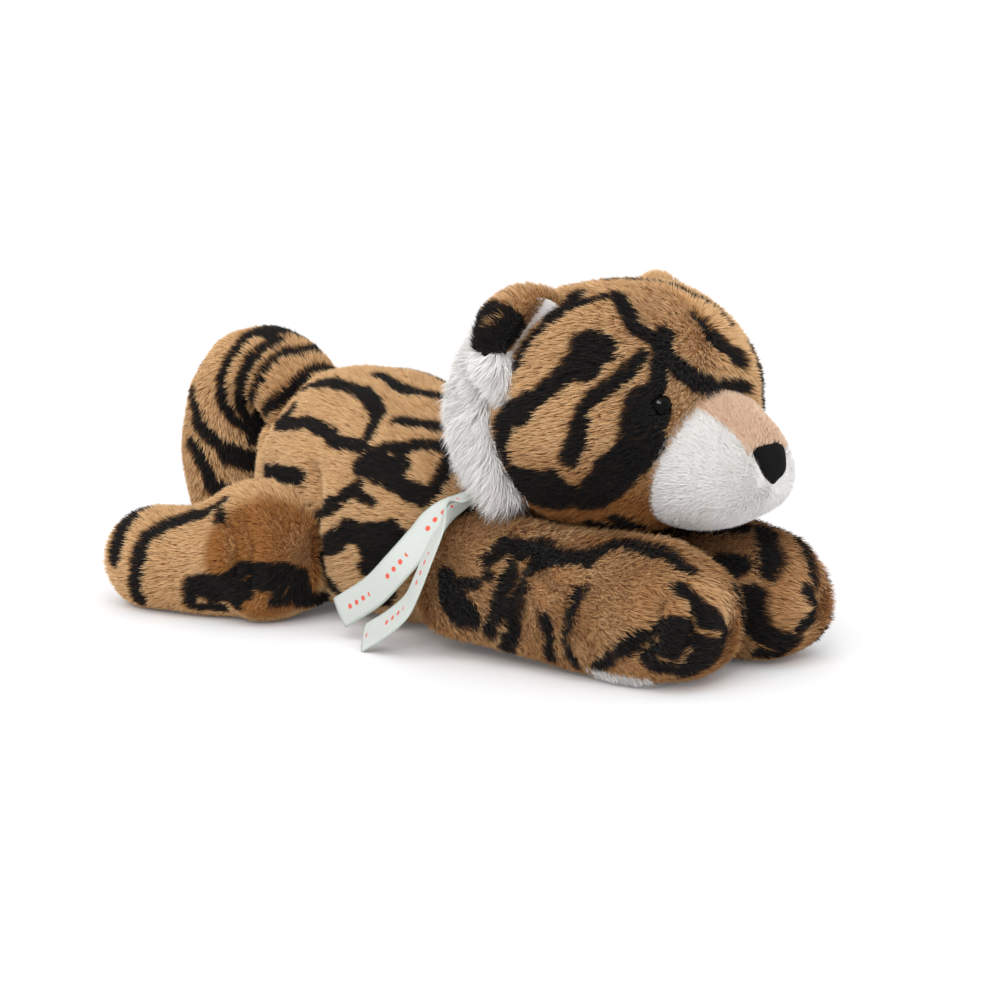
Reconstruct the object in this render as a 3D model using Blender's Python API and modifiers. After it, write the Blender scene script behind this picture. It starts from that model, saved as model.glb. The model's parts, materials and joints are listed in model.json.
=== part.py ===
"""Stuffed plush tiger lying on its belly, built piece by piece the way it is sewn and filled.

Metres, +Z up. The head looks along +X, the tiger's right side is at -Y, and the origin is the
middle of the flat on which the belly rests. Every stuffed form is a coarse cage of rings with
Subdivision Surface. A limb's root is a ball in a round socket, so that it turns without rubbing.
"""
import math

import bmesh
import bpy
from mathutils import Matrix, Vector
from mathutils.bvhtree import BVHTree

# Cloth, filling and the fit between pieces
SEAM_GAP = 0.0003
SKIN = 0.0032
FILL_GAP = 0.0008
SEAT_GAP = 0.0006
END_INSET_SHARE = 1.7
SOCKET_GAP = 0.0003
SAG_SHARE = 0.45
MOUTH_SHARE = 0.5
REST_CUT = 0.0005
OVERRUN = 0.030
WAY_OUT = 0.060
MERGE_DISTANCE = 0.00001
FLOOR_WIDTH = 0.600

# Body
BODY_LENGTH = 0.194
BODY_WIDTH = 0.108
BODY_HEIGHT = 0.112
BODY_REAR_X = -0.103
# (place along the length, width, top, bottom) of each ring, the last two as heights over the floor
BODY_RING_SHARES = (
    (0.00, 0.30, 0.80, 0.28),
    (0.13, 0.68, 1.00, 0.06),
    (0.34, 0.97, 1.09, -0.028),
    (0.59, 1.03, 0.97, -0.028),
    (0.82, 0.96, 0.88, 0.01),
    (0.97, 0.56, 0.62, 0.18),
)
SHOULDER_PLACE_SHARE = 0.891753
NECK_PLACE_SHARE = 0.925258
HIP_PLACE_SHARE = 0.231959
TAIL_PLACE_SHARE = 0.118557
SHOULDER_X = BODY_REAR_X + SHOULDER_PLACE_SHARE * BODY_LENGTH
NECK_X = BODY_REAR_X + NECK_PLACE_SHARE * BODY_LENGTH
HIP_X = BODY_REAR_X + HIP_PLACE_SHARE * BODY_LENGTH
TAIL_X = BODY_REAR_X + TAIL_PLACE_SHARE * BODY_LENGTH

# Head
HEAD_LENGTH = 0.112
HEAD_WIDTH = 0.122
HEAD_HEIGHT = 0.112
HEAD_FORWARD = 0.0435
HEAD_CENTRE = (NECK_X + HEAD_FORWARD, -0.001, 0.116)
HEAD_TURN_REST = math.radians(-2)
HEAD_RING_SHARES = (
    (-0.50, 0.34, 0.18, -0.28),
    (-0.41, 0.80, 0.35, -0.42),
    (-0.14, 1.05, 0.48, -0.52),
    (0.18, 1.00, 0.50, -0.50),
    (0.42, 0.70, 0.28, -0.42),
    (0.50, 0.30, 0.14, -0.26),
)

# Muzzle, nose bridge and nose, placed from the head's centre
MUZZLE_LENGTH = 0.066
MUZZLE_WIDTH = 0.070
MUZZLE_HEIGHT = 0.062
MUZZLE_START = 0.018
MUZZLE_DROP = 0.022
MUZZLE_RING_SHARES = (
    (0.00, 0.70, 0.50, -0.36),
    (0.26, 1.00, 0.62, -0.47),
    (0.62, 0.98, 0.44, -0.49),
    (0.90, 0.74, 0.19, -0.37),
    (1.00, 0.34, 0.02, -0.22),
)
BRIDGE_WIDTH_BACK = 0.046
BRIDGE_WIDTH_FRONT = 0.026
BRIDGE_FRONT = 0.072
NOSE_WIDTH = 0.022
NOSE_TOP = -0.0120
NOSE_BOTTOM = -0.0290
NOSE_BACK = 0.056
NOSE_THICKNESS = 0.0016
# (height, half width) down one side of the nose's rounded triangle
NOSE_OUTLINE_SHARES = ((1.00, 0.86), (0.84, 1.00), (0.60, 0.86), (0.12, 0.34))

# Safety eyes
EYE_RADIUS = 0.0050
EYE_HEIGHT = 0.0042
SHANK_RADIUS = 0.0016
SHANK_LENGTH = 0.0110
EYE_WASHER_RADIUS = 0.0065
EYE_WASHER_THICKNESS = 0.0014
EYE_TOWARDS = (0.0435, 0.0313, 0.0055)

# Ears
EAR_WIDTH = 0.052
EAR_HEIGHT = 0.029
EAR_THICKNESS = 0.016
EAR_PLACE = (-0.018, 0.0450, 0.0275)
EAR_LEAN_OUT = math.radians(54)
LEFT_EAR_STRAIGHTER = math.radians(12)
EAR_LEAN_BACK = math.radians(14)
EAR_FACE_OUT = math.radians(10)
EAR_DISH_FORWARD = 0.0080
EAR_LINING = 0.0020
EAR_ROOT_GAP = 0.00095

# Ruff of long pile behind each cheek
RUFF_WIDTH = 0.026
RUFF_THICKNESS = 0.015
RUFF_EAR_GAP = 0.0025
# route from the ear down to the jaw, as shares of the head's length, width and height
RUFF_ROUTE_SHARES = (
    (-0.290, 0.395, 0.310),
    (-0.350, 0.465, 0.170),
    (-0.375, 0.490, -0.020),
    (-0.355, 0.465, -0.200),
    (-0.290, 0.370, -0.345),
)
RUFF_SWELL_SHARES = (0.45, 0.85, 1.0, 0.9, 0.45)

# Neck
NECK_RADIUS = 0.0255
NECK_CENTRE = (NECK_X, 0.0, 0.0790)
NECK_TILT = math.radians(38)
NECK_OPENING = 0.012
NECK_ROOM = 0.0021

# Front legs
SHOULDER_RADIUS = 0.026
SHOULDER_CENTRE = (SHOULDER_X, 0.044, 0.0340)
ARM_LENGTH = 0.122
ARM_WIDTH = 0.055
ARM_HEIGHT = 0.057
ARM_INWARD = 0.012
PAW_HEIGHT_SHARE = 1.13
PAW_SETTLE = 0.0040
# (place along the arm, share of the inward bend, width, height) of each ring
ARM_RING_SHARES = (
    (0.00, 0.0, 0.76, 0.76),
    (0.36, 0.4, 0.96, 0.95),
    (0.76, 1.0, 1.17, 1.13),
    (0.97, 1.0, 0.92, 0.84),
    (1.03, 1.0, 0.42, 0.40),
)
LEFT_ARM_REACH = 0.007
LEFT_ARM_INWARD = 0.004
SOLE_LENGTH = 0.050
SOLE_WIDTH = 0.038
SOLE_FORWARD = 0.086
SOLE_DEPTH = 0.012

# Hind legs
HIP_RADIUS = 0.0335
HIP_CENTRE = (HIP_X, 0.055, 0.0330)
LEG_LENGTH = 0.080
LEG_WIDTH = 0.050
LEG_HEIGHT = 0.049
LEG_OUTWARD = 0.018
LEG_RING_SHARES = (
    (0.00, 0.2, 0.80, 0.86),
    (0.30, 0.7, 0.98, 0.98),
    (0.62, 1.0, 1.02, 1.02),
    (0.92, 1.0, 0.94, 0.94),
    (1.02, 1.0, 0.46, 0.46),
)

# Tail
TAIL_ROOT_RADIUS = 0.0215
TAIL_ROOT = (TAIL_X, 0.0, 0.0930)
TAIL_WIDTH = 0.043
TAIL_DEPTH_SHARE = 0.90
TAIL_REACH = 0.0640
TAIL_TOP_Z = 0.1180
# (place behind the root, height over the floor, thickness), as shares of the reach, top and width
TAIL_ROUTE_SHARES = (
    (0.06, 0.850, 0.90),
    (0.30, 0.965, 0.97),
    (0.62, 1.000, 1.02),
    (0.88, 0.900, 1.06),
    (1.00, 0.710, 1.10),
    (0.98, 0.480, 1.10),
    (0.91, 0.270, 0.96),
    (0.86, 0.140, 0.50),
)

# Ribbon
RIBBON_WIDTH = 0.0155
RIBBON_THICKNESS = 0.0006
COLLAR_WIDTH = 0.0060
COLLAR_THICKNESS = 0.0008
KNOT_SIZE = (0.0100, 0.0245, 0.0075)
KNOT_BACK = 0.0027
KNOT_CENTRE = (NECK_X - KNOT_BACK, -0.0371, 0.0752)
RIBBON_BACK = 0.062
RIBBON_OUT = 0.025
RIBBON_FALL = 0.064
RIBBON_GATHER_SHARE = 0.3
NARROW_TURN = math.radians(36)
# (behind the knot, out from it, below it) of each point, as shares of the three sizes above
WIDE_ROUTE_SHARES = (
    (0.03, 0.39, 0.01), (0.21, 0.88, 0.15), (0.34, 1.20, 0.36), (0.51, 1.36, 0.56),
    (0.75, 1.36, 0.77), (1.11, 1.32, 0.98),
)
NARROW_ROUTE_SHARES = (
    (-0.02, 0.42, -0.03), (0.06, 1.08, 0.06), (0.02, 1.48, 0.20), (0.07, 1.72, 0.43),
    (0.15, 1.78, 0.62), (0.26, 1.76, 0.78), (0.48, 1.68, 0.94), (0.74, 1.64, 1.09),
)

# Pellet pouch in the belly
POUCH_LENGTH = 0.074
POUCH_WIDTH = 0.060
POUCH_HEIGHT = 0.026
POUCH_WAY_RADIUS = 0.016
BELLY_LENGTH = 0.120
BELLY_WIDTH = 0.050
BELLY_X = 0.004
BELLY_DEPTH = 0.014

# Counts
BODY_SIDES = 12
LIMB_SIDES = 10
HOLLOW_SIDES = 6
FORM_LEVELS = 1
KNOT_LEVELS = 2
BALL_SEGMENTS = 16
BALL_RINGS = 10
BALL_LEVELS = 3
HOLLOW_LEVELS = 2
DOME_STEPS = 4
RIBBON_STEPS = 3

RIGHT = -1
LEFT = 1
SIDE_NAMES = {RIGHT: "right", LEFT: "left"}

TAN_PILE = ((0.515, 0.292, 0.128), 0.95)
WHITE_PILE = ((0.84, 0.82, 0.79), 0.95)
PEACH_PILE = ((0.78, 0.51, 0.34), 0.95)
BLACK_VELVET = ((0.006, 0.006, 0.006), 0.9)
BLACK_GLOSS = ((0.004, 0.004, 0.004), 0.08)
FIBRE_FILL = ((0.85, 0.85, 0.86), 1.0)
PELLET_CLOTH = ((0.60, 0.60, 0.58), 0.9)
WHITE_PLASTIC = ((0.75, 0.75, 0.72), 0.45)
MINT_SATIN = ((0.56, 0.60, 0.55), 0.35)


def start_clean():
    """Remove every object of the open scene."""
    for obj in list(bpy.data.objects):
        bpy.data.objects.remove(obj, do_unlink=True)


def new_group(name):
    group = bpy.data.collections.new(name)
    bpy.context.scene.collection.children.link(group)
    return group


def make_material(name, finish):
    colour, roughness = finish
    material = bpy.data.materials.new(name)
    material.use_nodes = True
    shader = material.node_tree.nodes["Principled BSDF"]
    shader.inputs["Base Color"].default_value = (*colour, 1)
    shader.inputs["Roughness"].default_value = roughness
    shader.inputs["Metallic"].default_value = 0
    material.diffuse_color = (*colour, 1)
    return material


def object_from(bm, name, group):
    """Finish a bmesh as an object; members of the cutter group only guide or cut."""
    bmesh.ops.recalc_face_normals(bm, faces=bm.faces[:])
    mesh = bpy.data.meshes.new(name)
    bm.to_mesh(mesh)
    bm.free()
    obj = bpy.data.objects.new(name, mesh)
    group.objects.link(obj)
    mesh.shade_smooth()
    if group is CUTTERS:
        obj.hide_render = True
        obj.display_type = "WIRE"
    return obj


def subdivide(obj, levels):
    modifier = obj.modifiers.new("stuffed_form", "SUBSURF")
    modifier.levels = levels
    modifier.render_levels = levels
    return obj


def combine(obj, operation, others):
    for other in others:
        modifier = obj.modifiers.new(operation.lower(), "BOOLEAN")
        modifier.operation = operation
        modifier.object = other
        modifier.solver = "EXACT"
    return obj


def cut(obj, *others):
    return combine(obj, "DIFFERENCE", others)


def keep(obj, *others):
    return combine(obj, "INTERSECT", others)


def join(obj, *others):
    return combine(obj, "UNION", others)


def sag(angle):
    """How far a ring spreads under its own weight: most at the bottom, nothing above the middle."""
    return 1 + SAG_SHARE * max(0, -math.sin(angle)) ** 3


def ring_swell(sides):
    """How much wider a control ring is than the round form that one subdivision leaves of it."""
    return 8 / (6 + 2 * math.cos(math.tau / sides))


def tube_cage(name, rings, sides, group, inset=0.0, side_axis=None, lies=False):
    """Loft rings of (centre, half width, half height) along their centres and subdivide them."""
    centres = [Vector(ring[0]) for ring in rings]
    forwards = []
    for index in range(len(rings)):
        before = centres[max(index - 1, 0)]
        after = centres[min(index + 1, len(rings) - 1)]
        forwards.append((after - before).normalized())
    end_inset = inset * (END_INSET_SHARE if inset > 0 else 1)
    centres[0] = centres[0] + forwards[0] * end_inset
    centres[-1] = centres[-1] - forwards[-1] * end_inset
    swell = ring_swell(sides)
    bm = bmesh.new()
    loops = []
    for centre, forward, ring in zip(centres, forwards, rings):
        side = Vector(side_axis) if side_axis else Vector((0, 0, 1)).cross(forward).normalized()
        up = forward.cross(side)
        half_width = (ring[1] - inset) * swell
        half_height = (ring[2] - inset) * swell
        loop = []
        for step in range(sides):
            angle = math.tau * step / sides
            spread = half_width * math.cos(angle) * (sag(angle) if lies else 1)
            offset = side * spread + up * (half_height * math.sin(angle))
            loop.append(bm.verts.new(centre + offset))
        loops.append(loop)
    for first, second in zip(loops, loops[1:]):
        for step in range(sides):
            after = (step + 1) % sides
            bm.faces.new((first[step], first[after], second[after], second[step]))
    bm.faces.new(reversed(loops[0]))
    bm.faces.new(loops[-1])
    return subdivide(object_from(bm, name, group), FORM_LEVELS)


def ball(name, centre, radius, group=None, splits=None):
    """A round ball of small triangles, whose corners lie on the radius."""
    bm = bmesh.new()
    bmesh.ops.create_icosphere(bm, subdivisions=splits or BALL_LEVELS, radius=radius)
    bmesh.ops.translate(bm, vec=centre, verts=bm.verts)
    return object_from(bm, name, group or CUTTERS)


def socket(name, centre, radius, splits=None):
    """The room for a turning ball: a ball whose flats, and not only its corners, clear the radius."""
    room = ball(name, centre, radius, None, splits)
    middle = Vector(centre)
    nearest = min((face.center - middle).length for face in room.data.polygons)
    room.data.transform(
        Matrix.Translation(middle) @ Matrix.Scale(radius / nearest, 4) @ Matrix.Translation(-middle)
    )
    return room


def cushion(name, centre, gap, group=None):
    """The oval pouch of pellets, or the room for it."""
    bm = bmesh.new()
    bmesh.ops.create_uvsphere(bm, u_segments=BALL_SEGMENTS, v_segments=BALL_RINGS, radius=1)
    size = (POUCH_LENGTH / 2 + gap, POUCH_WIDTH / 2 + gap, POUCH_HEIGHT / 2 + gap)
    bmesh.ops.scale(bm, vec=size, verts=bm.verts)
    bmesh.ops.translate(bm, vec=centre, verts=bm.verts)
    return object_from(bm, name, group or CUTTERS)


def rod(name, start, end, radius, group=None):
    """A round rod between two points."""
    start, end = Vector(start), Vector(end)
    bm = bmesh.new()
    bmesh.ops.create_cone(
        bm, cap_ends=True, segments=BALL_SEGMENTS,
        radius1=radius, radius2=radius, depth=(end - start).length,
    )
    turn = (end - start).to_track_quat("Z", "Y").to_matrix().to_4x4()
    bmesh.ops.transform(bm, matrix=Matrix.Translation((start + end) / 2) @ turn, verts=bm.verts)
    return object_from(bm, name, group or CUTTERS)


def prism(name, outline, low, high, place=None, group=None):
    """A flat outline raised from low to high along Z, then moved by place."""
    bm = bmesh.new()
    face = bm.faces.new([bm.verts.new((x, y, low)) for x, y in outline])
    raised = bmesh.ops.extrude_face_region(bm, geom=[face])
    top = [item for item in raised["geom"] if isinstance(item, bmesh.types.BMVert)]
    bmesh.ops.translate(bm, vec=(0, 0, high - low), verts=top)
    if place is not None:
        bmesh.ops.transform(bm, matrix=place, verts=bm.verts)
    return object_from(bm, name, group or CUTTERS)


def oval(centre, half_length, half_width, steps=BALL_SEGMENTS):
    return [
        (
            centre[0] + half_length * math.cos(math.tau * step / steps),
            centre[1] + half_width * math.sin(math.tau * step / steps),
        )
        for step in range(steps)
    ]


def turned(name, profile, group, place, closed=False):
    """A profile of (radius, height) points turned round Z by a Screw modifier, then placed."""
    bm = bmesh.new()
    points = [bm.verts.new((radius, 0, height)) for radius, height in profile]
    for first, second in zip(points, points[1:]):
        bm.edges.new((first, second))
    if closed:
        bm.edges.new((points[-1], points[0]))
    mesh = bpy.data.meshes.new(name)
    bm.to_mesh(mesh)
    bm.free()
    obj = bpy.data.objects.new(name, mesh)
    group.objects.link(obj)
    obj.matrix_world = place
    screw = obj.modifiers.new("turn", "SCREW")
    screw.steps = BALL_SEGMENTS
    screw.render_steps = BALL_SEGMENTS
    screw.use_merge_vertices = True
    screw.merge_threshold = MERGE_DISTANCE
    screw.use_smooth_shade = True
    return obj


def mirrored(point, side):
    return Vector((point[0], point[1] * side, point[2]))


def surface_from(obj, start, direction):
    """Where a line from inside a form leaves its evaluated surface, and the way it faces there."""
    graph = bpy.context.evaluated_depsgraph_get()
    tree = BVHTree.FromObject(obj, graph)
    place, normal, _, _ = tree.ray_cast(start, direction)
    return place, normal


def dress(obj, finish):
    obj.data.materials.append(make_material(obj.name + "_finish", finish))
    return obj


def pivot(name, place):
    """An empty on a joint's axis, which carries the pieces of one moving body."""
    empty = bpy.data.objects.new(name, None)
    empty.location = place
    PIECES.objects.link(empty)
    return empty


def hang(obj, carrier):
    obj.parent = carrier
    obj.matrix_parent_inverse = Matrix.Translation(carrier.location).inverted()


# Forms

def form_sides(inset):
    """An outer form is rounder than the hollow and the filling inside it."""
    return BODY_SIDES if inset <= 0 else HOLLOW_SIDES


def body_rings():
    rings = []
    for along, width, top, bottom in BODY_RING_SHARES:
        top_z = top * BODY_HEIGHT
        bottom_z = bottom * BODY_HEIGHT
        centre = (BODY_REAR_X + along * BODY_LENGTH, 0, (top_z + bottom_z) / 2)
        rings.append((centre, width * BODY_WIDTH / 2, (top_z - bottom_z) / 2))
    return rings


def body_form(name, group, inset=0.0):
    return tube_cage(name, body_rings(), form_sides(inset), group, inset, (0, 1, 0), True)


def head_place():
    return Matrix.Translation(HEAD_CENTRE) @ Matrix.Rotation(HEAD_TURN_REST, 4, "Z")


def head_point(along, across, height):
    """A point given along, across and above the head's centre, in the head's own turn."""
    return head_place() @ Vector((along, across, height))


def head_side_axis():
    return tuple(head_place().to_3x3() @ Vector((0, 1, 0)))


def head_form(name, group, inset=0.0):
    rings = []
    for along, width, top, bottom in HEAD_RING_SHARES:
        middle = (top + bottom) / 2 * HEAD_HEIGHT
        rings.append((
            head_point(along * HEAD_LENGTH, 0, middle),
            width * HEAD_WIDTH / 2, (top - bottom) / 2 * HEAD_HEIGHT,
        ))
    return tube_cage(name, rings, form_sides(inset), group, inset, head_side_axis())


def muzzle_form(name, group, inset=0.0):
    rings = []
    for along, width, top, bottom in MUZZLE_RING_SHARES:
        middle = (top + bottom) / 2 * MUZZLE_HEIGHT - MUZZLE_DROP
        rings.append((
            head_point(MUZZLE_START + along * MUZZLE_LENGTH, 0, middle),
            width * MUZZLE_WIDTH / 2, (top - bottom) / 2 * MUZZLE_HEIGHT,
        ))
    return tube_cage(name, rings, form_sides(inset), group, inset, head_side_axis())


def arm_rings(side):
    reach = ARM_LENGTH + (LEFT_ARM_REACH if side == LEFT else 0)
    inward = ARM_INWARD + (LEFT_ARM_INWARD if side == LEFT else 0)
    paw_z = PAW_HEIGHT_SHARE * ARM_HEIGHT / 2 - PAW_SETTLE
    rings = []
    for along, bend, width, height in ARM_RING_SHARES:
        half_height = height * ARM_HEIGHT / 2
        centre = mirrored((
            SHOULDER_CENTRE[0] + along * reach,
            SHOULDER_CENTRE[1] - bend * inward,
            SHOULDER_CENTRE[2] + bend * (paw_z - SHOULDER_CENTRE[2]),
        ), side)
        rings.append((centre, width * ARM_WIDTH / 2, half_height))
    return rings


def leg_rings(side):
    rings = []
    for along, bend, width, height in LEG_RING_SHARES:
        half_height = height * LEG_HEIGHT / 2
        centre = mirrored((
            HIP_CENTRE[0] - along * LEG_LENGTH,
            HIP_CENTRE[1] + bend * LEG_OUTWARD,
            LEG_HEIGHT / 2 - REST_CUT,
        ), side)
        rings.append((centre, width * LEG_WIDTH / 2, half_height))
    return rings


def tail_rings():
    rings = []
    for back, height, thickness in TAIL_ROUTE_SHARES:
        centre = (TAIL_ROOT[0] - back * TAIL_REACH, 0, height * TAIL_TOP_Z)
        half = thickness * TAIL_WIDTH / 2
        rings.append((centre, half, half * TAIL_DEPTH_SHARE))
    return rings


# Stuffed pieces

def settled(obj):
    """Give an object the mesh that its modifiers make of it, so that the next cut is a simple one."""
    graph = bpy.context.evaluated_depsgraph_get()
    mesh = bpy.data.meshes.new_from_object(obj.evaluated_get(graph))
    obj.modifiers.clear()
    obj.data = mesh
    return obj


def limb_form(name, group, rings, root, radius, side_axis, inset=0.0):
    """One body of a ringed tube and its round root."""
    sides = LIMB_SIDES if inset == 0 else HOLLOW_SIDES
    splits = BALL_LEVELS if inset == 0 else HOLLOW_LEVELS
    tube = tube_cage(name + "_tube", rings, sides, CUTTERS, inset, side_axis, side_axis is None)
    return settled(join(ball(name, root, radius - inset, group, splits), tube))


def stuffed_limb(limb, suffix, rings, root, radius, mouth_way, side_axis=None, panel=None):
    """Skin and filling of a limb, and the panel let into its skin where it has one.

    The skin is open towards the body, where it is sewn on.
    """
    shape = (rings, root, radius, side_axis)
    hollow = limb_form("%s_hollow%s" % (limb, suffix), CUTTERS, *shape, SKIN)
    mouth = rod("%s_mouth%s" % (limb, suffix), root, root + mouth_way, radius * MOUTH_SHARE)

    def skin(name):
        return cut(limb_form(name, PIECES, *shape), FLOOR, hollow, mouth)

    cover = skin("%s_skin%s" % (limb, suffix))
    pieces = [dress(cover, TAN_PILE)]
    if panel is not None:
        cut(cover, panel("seat", SEAM_GAP))
        sole = keep(skin("%s_sole%s" % (limb, suffix)), panel("shape", 0))
        pieces.append(dress(sole, WHITE_PILE))
    filling = limb_form("%s_filling%s" % (limb, suffix), PIECES, *shape, SKIN + FILL_GAP)
    pieces.append(dress(filling, FIBRE_FILL))
    carrier = pivot("%s_pivot%s" % (limb, suffix), root)
    for piece in pieces:
        hang(piece, carrier)


def make_arm(side):
    root = mirrored(SHOULDER_CENTRE, side)
    centre = mirrored((SHOULDER_CENTRE[0] + SOLE_FORWARD, SHOULDER_CENTRE[1] - ARM_INWARD, 0), side)

    def sole(use, gap):
        name = "sole_%s_%s" % (use, SIDE_NAMES[side])
        outline = oval(centre, SOLE_LENGTH / 2 + gap, SOLE_WIDTH / 2 + gap)
        return prism(name, outline, -OVERRUN, SOLE_DEPTH + gap)

    inwards = Vector((0, -side * WAY_OUT, 0))
    suffix = "_" + SIDE_NAMES[side]
    stuffed_limb("arm", suffix, arm_rings(side), root, SHOULDER_RADIUS, inwards, panel=sole)


def make_leg(side):
    root = mirrored(HIP_CENTRE, side)
    inwards = Vector((0, -side * WAY_OUT, 0))
    stuffed_limb("leg", "_" + SIDE_NAMES[side], leg_rings(side), root, HIP_RADIUS, inwards)


def make_tail():
    forwards = Vector((WAY_OUT, 0, 0))
    stuffed_limb("tail", "", tail_rings(), Vector(TAIL_ROOT), TAIL_ROOT_RADIUS, forwards, (0, 1, 0))


def body_sockets(splits, label):
    """Round seats in the body for the roots of the limbs, the tail and the neck."""
    seats = [
        ("neck", NECK_CENTRE, NECK_RADIUS + NECK_ROOM),
        ("tail", TAIL_ROOT, TAIL_ROOT_RADIUS + SOCKET_GAP),
    ]
    for side, word in SIDE_NAMES.items():
        shoulder = mirrored(SHOULDER_CENTRE, side)
        seats.append(("shoulder_" + word, shoulder, SHOULDER_RADIUS + SOCKET_GAP))
        seats.append(("hip_" + word, mirrored(HIP_CENTRE, side), HIP_RADIUS + SOCKET_GAP))
    return [
        socket("%s_%s" % (name, label), centre, radius, splits)
        for name, centre, radius in seats
    ]


def make_body():
    seats = body_sockets(BALL_LEVELS, "seat")
    rooms = body_sockets(HOLLOW_LEVELS, "room")
    hollow = body_form("body_hollow", CUTTERS, SKIN)
    outline = oval((BELLY_X, 0), BELLY_LENGTH / 2, BELLY_WIDTH / 2)
    wide = oval((BELLY_X, 0), BELLY_LENGTH / 2 + SEAM_GAP, BELLY_WIDTH / 2 + SEAM_GAP)
    inlay = prism("belly_inlay", outline, -OVERRUN, BELLY_DEPTH)
    inlay_seat = prism("belly_seat", wide, -OVERRUN, BELLY_DEPTH + SEAM_GAP)

    skin = body_form("body_skin", PIECES)
    dress(cut(skin, FLOOR, hollow, inlay_seat, *seats), TAN_PILE)
    panel = body_form("belly_panel", PIECES)
    dress(keep(cut(panel, FLOOR, hollow), inlay), WHITE_PILE)

    middle = (0, 0, SKIN + FILL_GAP + POUCH_HEIGHT / 2)
    pouch = cushion("pellet_pouch", middle, 0, PIECES)
    dress(keep(pouch, body_form("pouch_limit", CUTTERS, SKIN + FILL_GAP)), PELLET_CLOTH)
    room = cushion("pouch_room", middle, FILL_GAP)
    way = rod("pouch_way", (0, 0, -OVERRUN), middle, POUCH_WAY_RADIUS)
    filling = body_form("body_filling", PIECES, SKIN + FILL_GAP)
    dress(cut(filling, room, way, *rooms), FIBRE_FILL)


def make_neck():
    way = Vector((math.cos(NECK_TILT), 0, math.sin(NECK_TILT))) * WAY_OUT
    centre = Vector(NECK_CENTRE)
    through = rod("neck_through", centre - way, centre + way, NECK_OPENING)
    hollow = ball("neck_hollow", centre, NECK_RADIUS - SKIN, None, HOLLOW_LEVELS)
    cover = ball("neck_skin", centre, NECK_RADIUS, PIECES)
    skin = dress(cut(cover, hollow, through), TAN_PILE)
    inside = NECK_RADIUS - SKIN - FILL_GAP
    filling = dress(ball("neck_filling", centre, inside, PIECES, HOLLOW_LEVELS), FIBRE_FILL)
    carrier = pivot("neck_pivot", centre)
    hang(skin, carrier)
    hang(filling, carrier)


def make_eye(side, carrier):
    """Domed eye on its shank, with the washer that locks it; returns the cuts that let them in."""
    word = SIDE_NAMES[side]
    centre = head_point(0, 0, 0)
    towards = (head_point(*mirrored(EYE_TOWARDS, side)) - centre).normalized()
    outer, normal = surface_from(HEAD_GUIDE, centre, towards)
    turn = normal.to_track_quat("Z", "Y").to_matrix().to_4x4()
    place = Matrix.Translation(outer + normal * SEAM_GAP) @ turn
    quarter = [math.pi / 2 * step / DOME_STEPS for step in range(DOME_STEPS + 1)]
    arc = [(EYE_RADIUS * math.sin(a), EYE_HEIGHT * math.cos(a)) for a in quarter]
    profile = arc + [(SHANK_RADIUS, 0), (SHANK_RADIUS, -SHANK_LENGTH), (0, -SHANK_LENGTH)]
    hang(dress(turned("eye_" + word, profile, PIECES, place), BLACK_GLOSS), carrier)
    high = -SKIN - FILL_GAP
    low = high - EYE_WASHER_THICKNESS
    inside = SHANK_RADIUS + SEAM_GAP
    ring = [(EYE_WASHER_RADIUS, high), (EYE_WASHER_RADIUS, low), (inside, low), (inside, high)]
    hang(dress(turned("eye_washer_" + word, ring, PIECES, place, True), WHITE_PLASTIC), carrier)
    back = outer - normal * SHANK_LENGTH
    hole = rod("eye_hole_" + word, back, outer + normal * OVERRUN, inside)
    far = back - normal * FILL_GAP
    pocket = rod("eye_pocket_" + word, far, outer - normal * SKIN, EYE_WASHER_RADIUS + FILL_GAP)
    return hole, pocket


def bridge_prism(name, gap):
    outline = [
        (MUZZLE_START - OVERRUN, -BRIDGE_WIDTH_BACK / 2 - gap),
        (BRIDGE_FRONT + gap, -BRIDGE_WIDTH_FRONT / 2 - gap),
        (BRIDGE_FRONT + gap, BRIDGE_WIDTH_FRONT / 2 + gap),
        (MUZZLE_START - OVERRUN, BRIDGE_WIDTH_BACK / 2 + gap),
    ]
    return prism(name, outline, NOSE_TOP - gap, WAY_OUT, head_place())


def nose_prism(name, gap):
    """The nose's rounded triangle, seen from the front and carried back along the muzzle."""
    half = NOSE_WIDTH / 2 + gap
    low = NOSE_BOTTOM - gap
    rise = NOSE_TOP + gap - low
    left = [(low + height * rise, width * half) for height, width in NOSE_OUTLINE_SHARES]
    right = [(height, -width) for height, width in reversed(left)]
    outline = [(low, 0)] + right + left
    upright = Matrix.Rotation(-math.pi / 2, 4, "Y")
    return prism(name, outline, -NOSE_BACK - WAY_OUT, -NOSE_BACK, head_place() @ upright)


def make_face(carrier):
    """Muzzle, nose bridge and nose, each seated on the one behind it."""
    back = head_form("face_back", CUTTERS, -SEAT_GAP)
    hollow = muzzle_form("muzzle_hollow", CUTTERS, SKIN)
    muzzle = muzzle_form("muzzle_skin", PIECES)
    cut(muzzle, hollow, back, bridge_prism("bridge_seat", SEAM_GAP))
    bridge = muzzle_form("nose_bridge", PIECES)
    keep(cut(bridge, hollow, back), bridge_prism("bridge_shape", 0))
    filling = cut(muzzle_form("muzzle_filling", PIECES, SKIN + FILL_GAP), back)
    nose = muzzle_form("nose", PIECES, -NOSE_THICKNESS - SEAM_GAP)
    base = muzzle_form("nose_base", CUTTERS, -SEAM_GAP)
    cut(keep(nose, nose_prism("nose_shape", 0)), base)
    finishes = (WHITE_PILE, PEACH_PILE, FIBRE_FILL, BLACK_VELVET)
    for piece, finish in zip((muzzle, bridge, filling, nose), finishes):
        hang(dress(piece, finish), carrier)


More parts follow.
